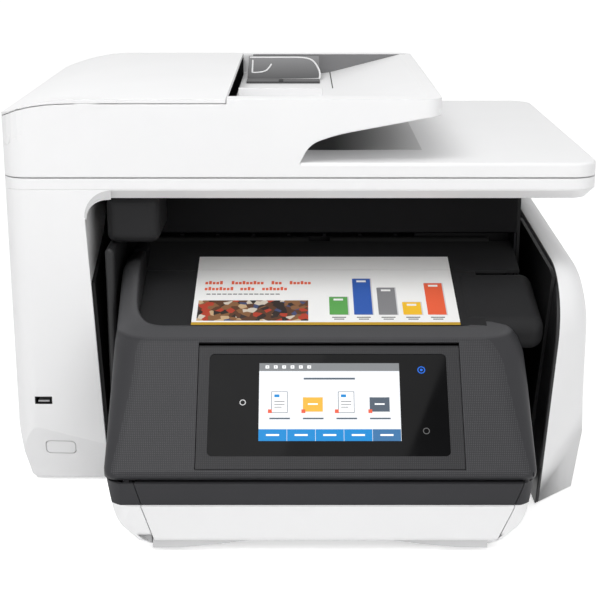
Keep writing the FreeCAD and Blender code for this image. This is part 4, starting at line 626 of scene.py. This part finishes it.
SCREEN_LEFT, SCREEN_FOOT, SCREEN_WIDE, SCREEN_HIGH = -0.033, 0.031, 0.1135, 0.0675
SCREEN_DEEP, SCREEN_THICK = 0.00052, 0.0001
screen_inks = [lit("screen white", (0.84, 0.86, 0.89), 0.85), lit("screen grey", (0.23, 0.24, 0.25), 0.8),
               lit("screen blue", (0.01, 0.24, 0.60), 0.85), lit("screen amber", (0.88, 0.48, 0.06), 0.8),
               lit("screen slate", (0.10, 0.13, 0.17), 0.7), lit("screen pale", (0.93, 0.94, 0.95), 0.95),
               lit("screen red", (0.80, 0.12, 0.06), 0.8), lit("screen steel", (0.05, 0.17, 0.36), 0.85)]
WHITE, GREY, BLUE, AMBER, SLATE, PALE, RED, STEEL = range(8)
screen_areas = [((0, 0.0605, SCREEN_WIDE, SCREEN_HIGH), GREY)]
for index in range(6):
    start = 0.005 + index * 0.0068
    screen_areas.append(((start, 0.0628, start + 0.0030, 0.0655), PALE))
    screen_areas.append(((start + 0.0009, 0.0637, start + 0.0021, 0.0646), GREY))
for index in range(5):
    start = index * 0.0227
    screen_areas.append(((start, 0, start + 0.0224, 0.0100), STEEL if index == 4 else BLUE))
    screen_areas.append(((start + 0.0060, 0.0043, start + 0.0164, 0.0058), PALE))
for index in range(4):
    start = 0.0065 + index * 0.0268
    screen_areas.append(((start + 0.002, 0.0185, start + 0.0185, 0.0198), SLATE))
    if index % 2 == 0:
        screen_areas += [((start + 0.0035, 0.0240, start + 0.0165, 0.0425), SLATE),
                         ((start + 0.0040, 0.0245, start + 0.0160, 0.0420), PALE),
                         ((start + 0.0058, 0.0375, start + 0.0100, 0.0400), BLUE),
                         ((start + 0.0058, 0.0335, start + 0.0142, 0.0343), GREY),
                         ((start + 0.0058, 0.0310, start + 0.0142, 0.0318), GREY),
                         ((start + 0.0058, 0.0285, start + 0.0118, 0.0293), GREY)]
    else:
        screen_areas += [((start + 0.0020, 0.0250, start + 0.0180, 0.0375), AMBER if index == 1 else SLATE),
                         ((start + 0.0045, 0.0375, start + 0.0155, 0.0415), PALE),
                         ((start + 0.0060, 0.0310, start + 0.0140, 0.0322), PALE)]
    screen_areas.append(((start + 0.0008, 0.0238, start + 0.0040, 0.0270), RED))
screen_areas.append(((0.036, 0.0530, 0.0775, 0.0546), SLATE))
screen = printed("lit_screen", (SCREEN_WIDE, SCREEN_HIGH), screen_areas, screen_inks, SCREEN_THICK,
                 FACE_FRAME @ Matrix.Translation((SCREEN_LEFT, SCREEN_FOOT, -SCREEN_DEEP)))
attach(screen, "panel")
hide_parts("display")

# Touch marks on the glass beside the display: a white ring, a blue ring with a dot, and a grey ring.
# Screen-printed ink, as thin as paint, lit from behind.
MARK_DEEP, INK_THICK = 0.00054, 0.00004


def ring_mark(name, centre, radius, width, material):
    """A flat ring on the glass."""
    band = bmesh.new()
    inner = band.verts.new((radius - width / 2, 0, 0))
    outer = band.verts.new((radius + width / 2, 0, 0))
    edge = band.edges.new((inner, outer))
    bmesh.ops.spin(band, geom=[inner, outer, edge], cent=(0, 0, 0), axis=(0, 0, 1), angle=2 * pi, steps=20,
                   use_merge=True)
    bmesh.ops.recalc_face_normals(band, faces=band.faces[:])
    bmesh.ops.transform(band, verts=band.verts,
                        matrix=FACE_FRAME @ Matrix.Translation((*centre, -MARK_DEEP)))
    piece = finished(band, name, material)
    piece.modifiers.new("ink", "SOLIDIFY").thickness = INK_THICK
    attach(piece, "panel")


white_ink = lit("white touch ink", (0.75, 0.75, 0.76), 0.6)
blue_ink = lit("blue touch ink", (0.02, 0.16, 0.75), 0.8)
grey_ink = lit("grey touch ink", (0.18, 0.18, 0.18), 0.5)
ring_mark("ring_sign", (-0.046, 0.064), 0.0022, 0.0007, white_ink)
BEACON = (0.0985, 0.0925)
ring_mark("beacon_dot", BEACON, 0.0006, 0.0011, blue_ink)
ring_mark("beacon_wave", BEACON, 0.0028, 0.0008, blue_ink)
ring_mark("card_sign", (0.1005, 0.0395), 0.0024, 0.0006, grey_ink)

# Lid with the feeder's base, swinging on two brackets at the rear.
# White like the covers; inside the feeder bay it is painted near-black as painted shade in the gap under the
# cover, and the wall behind the deck is painted grey as painted shade of the recess.
def inside_box(material, low, high):
    """A mask that is on inside a box, read from the place on the piece."""
    nodes, links = material.node_tree.nodes, material.node_tree.links
    offset = vector_math(nodes, "SUBTRACT", (Vector(low) + Vector(high)) / 2)
    size = vector_math(nodes, "ABSOLUTE")
    left_over = vector_math(nodes, "SUBTRACT")
    left_over.inputs[0].default_value = (Vector(high) - Vector(low)) / 2
    parts = nodes.new("ShaderNodeSeparateXYZ")
    least = nodes.new("ShaderNodeMath")
    least.operation = "MINIMUM"
    smallest = nodes.new("ShaderNodeMath")
    smallest.operation = "MINIMUM"
    links.new(object_place(material), offset.inputs[0])
    links.new(offset.outputs["Vector"], size.inputs[0])
    links.new(size.outputs["Vector"], left_over.inputs[1])
    links.new(left_over.outputs["Vector"], parts.inputs["Vector"])
    links.new(parts.outputs["X"], least.inputs[0])
    links.new(parts.outputs["Y"], least.inputs[1])
    links.new(least.outputs["Value"], smallest.inputs[0])
    links.new(parts.outputs["Z"], smallest.inputs[1])
    return step(material, smallest.outputs["Value"], 0.0, 0.0002)


SHADED_DECK_WALL = ((-0.0500, 0.2272, 0.3212), (0.1120, 0.2288, 0.3425))
SHADED_FEEDER_BAY = ((-0.2246, -0.1086, 0.3006), (-0.0604, 0.2286, 0.3384))
lid_white = satin_white("lid white", soft_edge=0.0014)
# Painted shade: the rear wall of the deck recess is painted grey.
lid_painted_shade = masked(lid_white, lid_white.node_tree.nodes["shade"].outputs["Color"],
                  inside_box(lid_white, *SHADED_DECK_WALL), (0.20, 0.20, 0.205))
# Painted shade: the feeder bay is painted near-black.
masked(lid_white, lid_painted_shade, inside_box(lid_white, *SHADED_FEEDER_BAY), (0.012, 0.012, 0.013))
dress(lid_white, "scanner_lid")

# Shoulder of the feeder cover: the crown that falls to the left, and the cheek below its seam.
# White like the cover, moulded on to it; both rise with the cover on its left edge.
COVER_FRONT, COVER_REAR, COVER_CORNER = -0.12815, 0.2461, 0.022
CROWN_EDGE, CROWN_RISE = 0.3290, 0.01298
CROWN = tuple((-0.2500 + 0.0065 * place, CROWN_EDGE + CROWN_RISE * sin(radians(9 * place)))
              for place in range(11)) + ((-0.1500, CROWN_EDGE + CROWN_RISE),)
SEAM = ((-0.2500, 0.3260), (-0.2440, 0.3290), (-0.2340, 0.3331), (-0.2220, 0.3359), (-0.2080, 0.3377),
        (-0.1920, 0.3384), (-0.1760, 0.3386), (-0.1500, 0.3386))
SEAM_GAP = 0.0006
CHEEK = tuple((x, z - SEAM_GAP) for x, z in SEAM[:-1]) + ((-0.1580, 0.3380),)
CHEEK_FOOT = ((-0.2500, 0.3005), (-0.1800, 0.3325), (-0.1580, 0.3365))


def height_at(line, x):
    """The height of a profile line at one place across."""
    for (first, low), (second, high) in zip(line, line[1:]):
        if x <= second:
            return low + (high - low) * (x - first) / (second - first)
    return line[-1][1]


def drawn(name, top, foot, front, rear, corner, material, body):
    """A profile drawn from front to rear, its left side rounded in plan."""
    shape = bmesh.new()
    order = shape.verts.layers.int.new("order")
    outline = [(x, top) for x, _ in top] + [(x, foot) for x, _ in reversed(foot)]
    turns = [radians(15 * turn) for turn in range(7)] if corner else [0.0]
    left = top[0][0] + corner
    rows = [(front + corner * (1 - cos(turn)), left - corner * sin(turn)) for turn in turns]
    rows += [(rear - corner * (1 - cos(turn)), left - corner * sin(turn)) for turn in reversed(turns)]
    for index in range(len(outline)):
        shape.verts.new()[order] = index
    end = shape.faces.new(shape.verts[:])
    for index, (y, least) in enumerate(rows):
        if index:
            grown = bmesh.ops.extrude_face_region(shape, geom=[end], use_keep_orig=index == 1)["geom"]
            end = next(item for item in grown if isinstance(item, bmesh.types.BMFace))
        for vert in end.verts:
            x, line = outline[vert[order]]
            vert.co = (max(x, least), y, height_at(line, max(x, least)))
    bmesh.ops.remove_doubles(shape, verts=shape.verts[:], dist=1e-6)
    bmesh.ops.recalc_face_normals(shape, faces=shape.faces[:])
    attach(finished(shape, name, material), body)


drawn("cover_crown", CROWN, SEAM, COVER_FRONT, COVER_REAR, COVER_CORNER, white_shell, "feeder_cover")
drawn("cover_cheek", CHEEK, CHEEK_FOOT, COVER_FRONT, COVER_REAR, COVER_CORNER, satin_white("cheek white"),
      "feeder_cover")

# Rim round the upper left corner of the output space: the chamfer of the strip carried on to the tower.
# A thin plate on the tower's front, painted grey as the painted shade of a chamfer that faces down, moulded
# in one with the tower.
def quarter(x, z, radius):
    """A quarter circle from its left end to its top."""
    turns = [radians(turn) for turn in range(0, 91, 10)]
    return tuple((x - radius * cos(turn), z + radius * sin(turn)) for turn in turns)


ARCH_OUT = quarter(-0.158, 0.243, 0.023)
ARCH_IN = quarter(-0.162, 0.241, 0.0173) + ((-0.158, 0.2583),)
# Painted shade: white plastic coloured grey where a downward chamfer would be shaded.
rim_painted_shade = moulded("rim painted shade", (0.58, 0.58, 0.585), 0.45, grain=3200.0, depth=0.03, mottle=0.02, shine=0.3)
drawn("arch_rim", ARCH_OUT, ARCH_IN, -0.12825, -0.1279, 0.0, rim_painted_shade, "chassis")

# Toes under the nose: the chamfer along the bottom of the skirt, deepest at both ends.
# Painted grey as the painted shade of a chamfer that faces down; part of the tray front and of the left
# cheek.
# Painted shade: the toes are white plastic coloured grey as if shaded.
toe_painted_shade = moulded("toe painted shade", (0.58, 0.58, 0.585), 0.5)
TRAY_MIDDLE = 0.016
TOE_TOP = ((-0.117, 0.0112), (-0.030, 0.0112))
TOE_FOOT = ((-0.117, 0.0034), (-0.095, 0.0036), (-0.065, 0.0064), (-0.045, 0.0094), (-0.030, 0.0111))


def mirrored(line):
    """A profile line on the other side of the tray."""
    return tuple((2 * TRAY_MIDDLE - x, z) for x, z in reversed(line))


drawn("tray_toe_left", TOE_TOP, TOE_FOOT, -0.2590, -0.2500, 0.0, toe_painted_shade, "tray")
drawn("tray_toe_right", mirrored(TOE_TOP), mirrored(TOE_FOOT), -0.2590, -0.2500, 0.0, toe_painted_shade, "tray")
drawn("cheek_toe", ((-0.1310, 0.0180), (-0.1180, 0.0180)),
      ((-0.1310, 0.0150), (-0.1220, 0.0080), (-0.1180, 0.0076)), -0.2560, -0.2400, 0.0, toe_painted_shade, "chassis")

# Output bed of the feeder: a thin plate let into the lid under the input deck, coloured as a painted shadow.
# Grained plastic, near-black under the deck and lighter towards the open end, where the painted shadow of
# the deck's overhang fades.
def graded(name, axis, start, end, first, last, roughness):
    """A plastic whose colour runs from first to last along one axis."""
    material = moulded(name, first, roughness, shine=0.2)
    fade = step(material, along(material, object_place(material), axis), (start + end) / 2, end - start)
    masked(material, material.node_tree.nodes["shade"].outputs["Color"], fade, last)
    return material


BED_END = 0.1066
# Painted shadow: the bed runs from near-black under the deck to pale towards its open end.
bed_painted_shadow = graded("output bed painted shadow", "X", 0.030, BED_END, (0.010, 0.010, 0.010), (0.66, 0.66, 0.66), 0.5)
block("output_bed_shadow", (0.0012, -0.0644, 0.28915), (BED_END, 0.236, 0.2895), bed_painted_shadow, "lid", edge=0.0001)

# Document guides on the input deck: the rear one is a leaning plate with a white moulded rim, painted grey
# and darker towards its foot as painted shade.
# Both are moulded, set by hand and geared together under the deck, whose seam runs beside them.
# Painted shade: the rear guide runs from dark at its foot to lighter grey at its top.
guide_painted_shade = graded("guide painted shade", "Z", 0.322, 0.3415, (0.06, 0.06, 0.062), (0.24, 0.24, 0.245), 0.45)
dress(guide_painted_shade, "document_guide_rear")


def tube(name, points, radius, material, body):
    """A round bead through a smooth row of points."""
    curve = bpy.data.curves.new(name, "CURVE")
    curve.dimensions = "3D"
    curve.bevel_depth = radius
    curve.bevel_resolution = 3
    curve.resolution_u = 8
    curve.use_fill_caps = True
    line = curve.splines.new("NURBS")
    line.points.add(len(points) - 1)
    for knot, point in zip(line.points, points):
        knot.co = (*point, 1)
    line.order_u = 3
    line.use_endpoint_u = True
    path = bpy.data.objects.new(name + "_path", curve)
    bpy.context.scene.collection.objects.link(path)
    mesh = bpy.data.meshes.new_from_object(path.evaluated_get(bpy.context.evaluated_depsgraph_get()))
    bpy.data.objects.remove(path)
    bpy.data.curves.remove(curve)
    mesh.materials.clear()
    mesh.materials.append(material)
    mesh.shade_smooth()
    piece = bpy.data.objects.new(name, mesh)
    bpy.context.scene.collection.objects.link(piece)
    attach(piece, body)


GUIDE_FOOT_Y, GUIDE_FOOT_Z, GUIDE_RISE = 0.158, 0.3221, 0.3345


def on_guide(*places):
    """Places on the sloping front of the rear guide."""
    return [(x, y, GUIDE_FOOT_Z + (y - GUIDE_FOOT_Y) * GUIDE_RISE) for x, y in places]


GUIDE_RIM = on_guide((-0.053, 0.212), (-0.01, 0.212), (0.004, 0.212), (0.014, 0.206), (0.0205, 0.182),
                     (0.0205, 0.1645), (0.0185, 0.161), (-0.053, 0.161))
GUIDE_RIDGE = on_guide((-0.0495, 0.205), (-0.0495, 0.180), (-0.049, 0.176), (-0.038, 0.178), (-0.033, 0.184),
                       (-0.030, 0.196))
tube("guide_rim", GUIDE_RIM, 0.0010, white_shell, "guide_rear")
tube("guide_ridge", GUIDE_RIDGE, 0.0009, white_shell, "guide_rear")
block("guide_catch", (-0.0215, 0.1385, 0.3240), (-0.0170, 0.1545, 0.3246), black_inside, "guide_rear",
      edge=0.0001)
block("deck_seam", (0.0314, 0.092, 0.3226), (0.0324, 0.2265, 0.3234), black_inside, "lid", edge=0.0001)

# Memory port: a pale contact tongue in the black shell.
# Moulded plastic, pressed into the socket from behind.
tongue_look = moulded("port tongue", (0.45, 0.45, 0.46), 0.4)
block("port_tongue", (-0.2285, -0.1262, 0.0781), (-0.2185, -0.1130, 0.0796), tongue_look, "chassis",
      edge=0.0002)

# Sheets in the output tray: one lies on the door, the next is still held by the exit roller.
# Copier paper printed with a plain chart, an abstract picture and lines of dummy text.
SHEET_LEFT, SHEET_WIDE, SHEET_LIFT, SHEET_THICK = -0.091, 0.225, 0.0006, 0.0002
SEAM_Y, SHEET_END = -0.0675, -0.044


def picture(name):
    """An abstract picture in warm browns, with a few red, blue and cream patches."""
    material = moulded(name, (0.1, 0.05, 0.03), 0.7)
    nodes, links = material.node_tree.nodes, material.node_tree.links
    patches = nodes.new("ShaderNodeTexVoronoi")
    patches.inputs["Scale"].default_value = 170.0
    tones = nodes.new("ShaderNodeValToRGB")
    tones.color_ramp.interpolation = "CONSTANT"
    marks = ((0.0, (0.02, 0.012, 0.01)), (0.28, (0.09, 0.035, 0.015)), (0.45, (0.22, 0.10, 0.04)),
             (0.58, (0.42, 0.045, 0.02)), (0.68, (0.55, 0.38, 0.22)), (0.76, (0.05, 0.07, 0.16)),
             (0.86, (0.62, 0.55, 0.46)), (0.92, (0.03, 0.02, 0.02)))
    ramp = tones.color_ramp.elements
    for _ in marks[2:]:
        ramp.new(0.5)
    for stop, (position, colour) in zip(ramp, marks):
        stop.position = position
        stop.color = (*colour, 1)
    links.new(object_place(material), patches.inputs["Vector"])
    links.new(patches.outputs["Color"], tones.inputs["Fac"])
    links.new(tones.outputs["Color"], nodes["Principled BSDF"].inputs["Base Color"])
    return material


copier_paper = moulded("copier paper", (0.86, 0.86, 0.85), 0.85, grain=1500.0, depth=0.1, mottle=0.01,
                       shine=0.2)
INK_COLOURS = {"ink vermilion": (0.78, 0.11, 0.04), "ink blue": (0.025, 0.10, 0.42),
               "ink grey": (0.22, 0.22, 0.23), "ink green": (0.10, 0.36, 0.08),
               "ink yellow": (0.86, 0.50, 0.02), "ink gold": (0.50, 0.30, 0.02),
               "ink black": (0.03, 0.03, 0.03), "ink shade": (0.62, 0.62, 0.63)}
paper_inks = [copier_paper, *(moulded(name, colour, 0.7) for name, colour in INK_COLOURS.items()),
              picture("ink picture")]
PAPER, VERMILION, INK_BLUE, INK_GREY, INK_GREEN, INK_YELLOW, GOLD, INK_BLACK, INK_SHADE, PICTURE = range(10)
page_areas = [((0, 0, SHEET_WIDE, 0.0042), GOLD), ((0.004, 0.0065, 0.098, 0.0405), PICTURE)]
CHART_LEFT, CHART_FOOT, BAR_STEP, BAR_WIDE = 0.116, 0.0165, 0.0208, 0.0158
CHART_BARS = ((0.030, INK_GREEN), (0.062, INK_BLUE), (0.046, INK_GREY), (0.021, INK_YELLOW),
              (0.054, VERMILION))
for index, (high, ink) in enumerate(CHART_BARS):
    start = CHART_LEFT + index * BAR_STEP
    top = CHART_FOOT + high
    end = start + BAR_WIDE
    page_areas += [((start + 0.0010, CHART_FOOT - 0.0008, end + 0.0010, top + 0.0006), INK_SHADE),
                   ((start, CHART_FOOT, end, top), ink),
                   ((start + 0.0038, top - 0.0062, start + 0.0120, top - 0.0030), PAPER),
                   ((start + 0.0020, CHART_FOOT - 0.0050, start + 0.0138, CHART_FOOT - 0.0036), INK_BLACK),
                   ((start + 0.0036, CHART_FOOT - 0.0080, start + 0.0122, CHART_FOOT - 0.0066), INK_BLACK)]
LETTER_STEP, LETTER_WIDE = 0.0032, 0.0024
for low, words in ((0.0685, (0.019, 0.031, 0.012, 0.022)), (0.0580, (0.027, 0.015, 0.024))):
    start = 0.008
    for wide in words:
        letters = int(wide / LETTER_STEP)
        for letter in range(letters):
            left = start + letter * LETTER_STEP
            tall = 0.0058 if (letter * 7 + letters) % 3 == 0 else 0.0042
            page_areas.append(((left, low, left + LETTER_WIDE, low + tall), VERMILION))
        start += wide + 0.004
for index in range(14):
    start = 0.010 + index * 0.0046
    page_areas.append(((start, 0.0505, start + 0.0036, 0.0520), INK_BLACK))
floor_place = Matrix.Translation((SHEET_LEFT, LIP_Y, LIP_Z)) @ Matrix.Rotation(FLOOR_TILT, 4, "X")
door_run = (SEAM_Y - LIP_Y) / cos(FLOOR_TILT)
page = printed("printed_page", (SHEET_WIDE, door_run - 0.001), page_areas, paper_inks, SHEET_THICK,
               floor_place @ Matrix.Translation((0, 0.0005, SHEET_LIFT)))
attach(page, "door")
next_run = (SHEET_END - SEAM_Y) / cos(FLOOR_TILT)
next_sheet = printed("next_sheet", (SHEET_WIDE, next_run), [((0, 0, SHEET_WIDE, next_run), PAPER)],
                     [copier_paper], SHEET_THICK,
                     floor_place @ Matrix.Translation((0, door_run, SHEET_LIFT)))
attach(next_sheet, "chassis")

# Floor and light: a wide pale sweep under soft studio light from above and in front.
# The floor shows white to the camera and keeps the soft shadow under the printer.
def background_rays(tree):
    """1 for the rays that see the background: camera, glossy and transmission."""
    rays = tree.nodes.new("ShaderNodeLightPath")
    seen = rays.outputs["Is Camera Ray"]
    for kind in ("Is Glossy Ray", "Is Transmission Ray"):
        either = tree.nodes.new("ShaderNodeMath")
        either.operation = "MAXIMUM"
        tree.links.new(seen, either.inputs[0])
        tree.links.new(rays.outputs[kind], either.inputs[1])
        seen = either.outputs["Value"]
    return seen


floor_shape = bmesh.new()
bmesh.ops.create_grid(floor_shape, x_segments=1, y_segments=1, size=20.0)
floor_look = bpy.data.materials.new("pale floor")
floor_look.use_nodes = True
floor_nodes, floor_links = floor_look.node_tree.nodes, floor_look.node_tree.links
floor_shader = floor_nodes["Principled BSDF"]
floor_shader.inputs["Base Color"].default_value = (0.85, 0.85, 0.85, 1)
floor_shader.inputs["Roughness"].default_value = 0.9
floor_glow = floor_nodes.new("ShaderNodeEmission")
level = floor_nodes.new("ShaderNodeMath")
level.operation = "MULTIPLY"
level.inputs[1].default_value = 0.6
floor_sum = floor_nodes.new("ShaderNodeAddShader")
floor_links.new(background_rays(floor_look.node_tree), level.inputs[0])
floor_links.new(level.outputs["Value"], floor_glow.inputs["Strength"])
floor_links.new(floor_shader.outputs["BSDF"], floor_sum.inputs[0])
floor_links.new(floor_glow.outputs["Emission"], floor_sum.inputs[1])
floor_links.new(floor_sum.outputs["Shader"], floor_nodes["Material Output"].inputs["Surface"])
floor = finished(floor_shape, "floor", floor_look)
floor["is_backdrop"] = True

world = bpy.data.worlds.new("studio")
bpy.context.scene.world = world
world.use_nodes = True
backdrop = world.node_tree.nodes["Background"]
backdrop.inputs["Color"].default_value = (1, 1, 1, 1)
sky_level = world.node_tree.nodes.new("ShaderNodeMapRange")
sky_level.inputs["To Min"].default_value = 0.53
sky_level.inputs["To Max"].default_value = 1.0
world.node_tree.links.new(background_rays(world.node_tree), sky_level.inputs["Value"])
world.node_tree.links.new(sky_level.outputs["Result"], backdrop.inputs["Strength"])


def softbox(name, place, aim, size, power, roll=0.0):
    """A rectangular lamp that faces its aim."""
    data = bpy.data.lights.new(name, "AREA")
    data.shape = "RECTANGLE"
    data.size, data.size_y = size
    data.energy = power
    lamp = bpy.data.objects.new(name, data)
    lamp.location = place
    facing = (Vector(aim) - Vector(place)).to_track_quat("-Z", "Y")
    lamp.rotation_euler = (facing @ Quaternion((0, 0, 1), roll)).to_euler()
    bpy.context.scene.collection.objects.link(lamp)


softbox("key", (-0.5, -1.05, 2.1), (0, 0, 0.2), (1.6, 1.2), 21)
softbox("front", (1.0, -2.0, 0.75), (0, 0, 0.15), (1.4, 1.0), 9)
softbox("panel card", (-0.2218, -0.5422, 1.0620), (-0.2377, -0.1253, 0.1532), (0.5, 0.6), 1.4,
        radians(-24.7))

# Camera square on to the front, at the height and tilt of the photograph.
# A long lens without blur, under the plain view transform.
camera_data = bpy.data.cameras.new("camera")
camera_data.sensor_width = 36.0
camera_data.lens = 83.18
camera = bpy.data.objects.new("camera", camera_data)
camera.location = (0.0, -1.26578, 0.49574)
camera.rotation_euler = (radians(90 - 15.93), 0, 0)
bpy.context.scene.collection.objects.link(camera)
bpy.context.scene.camera = camera
bpy.context.scene.view_settings.view_transform = "Standard"

low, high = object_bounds()
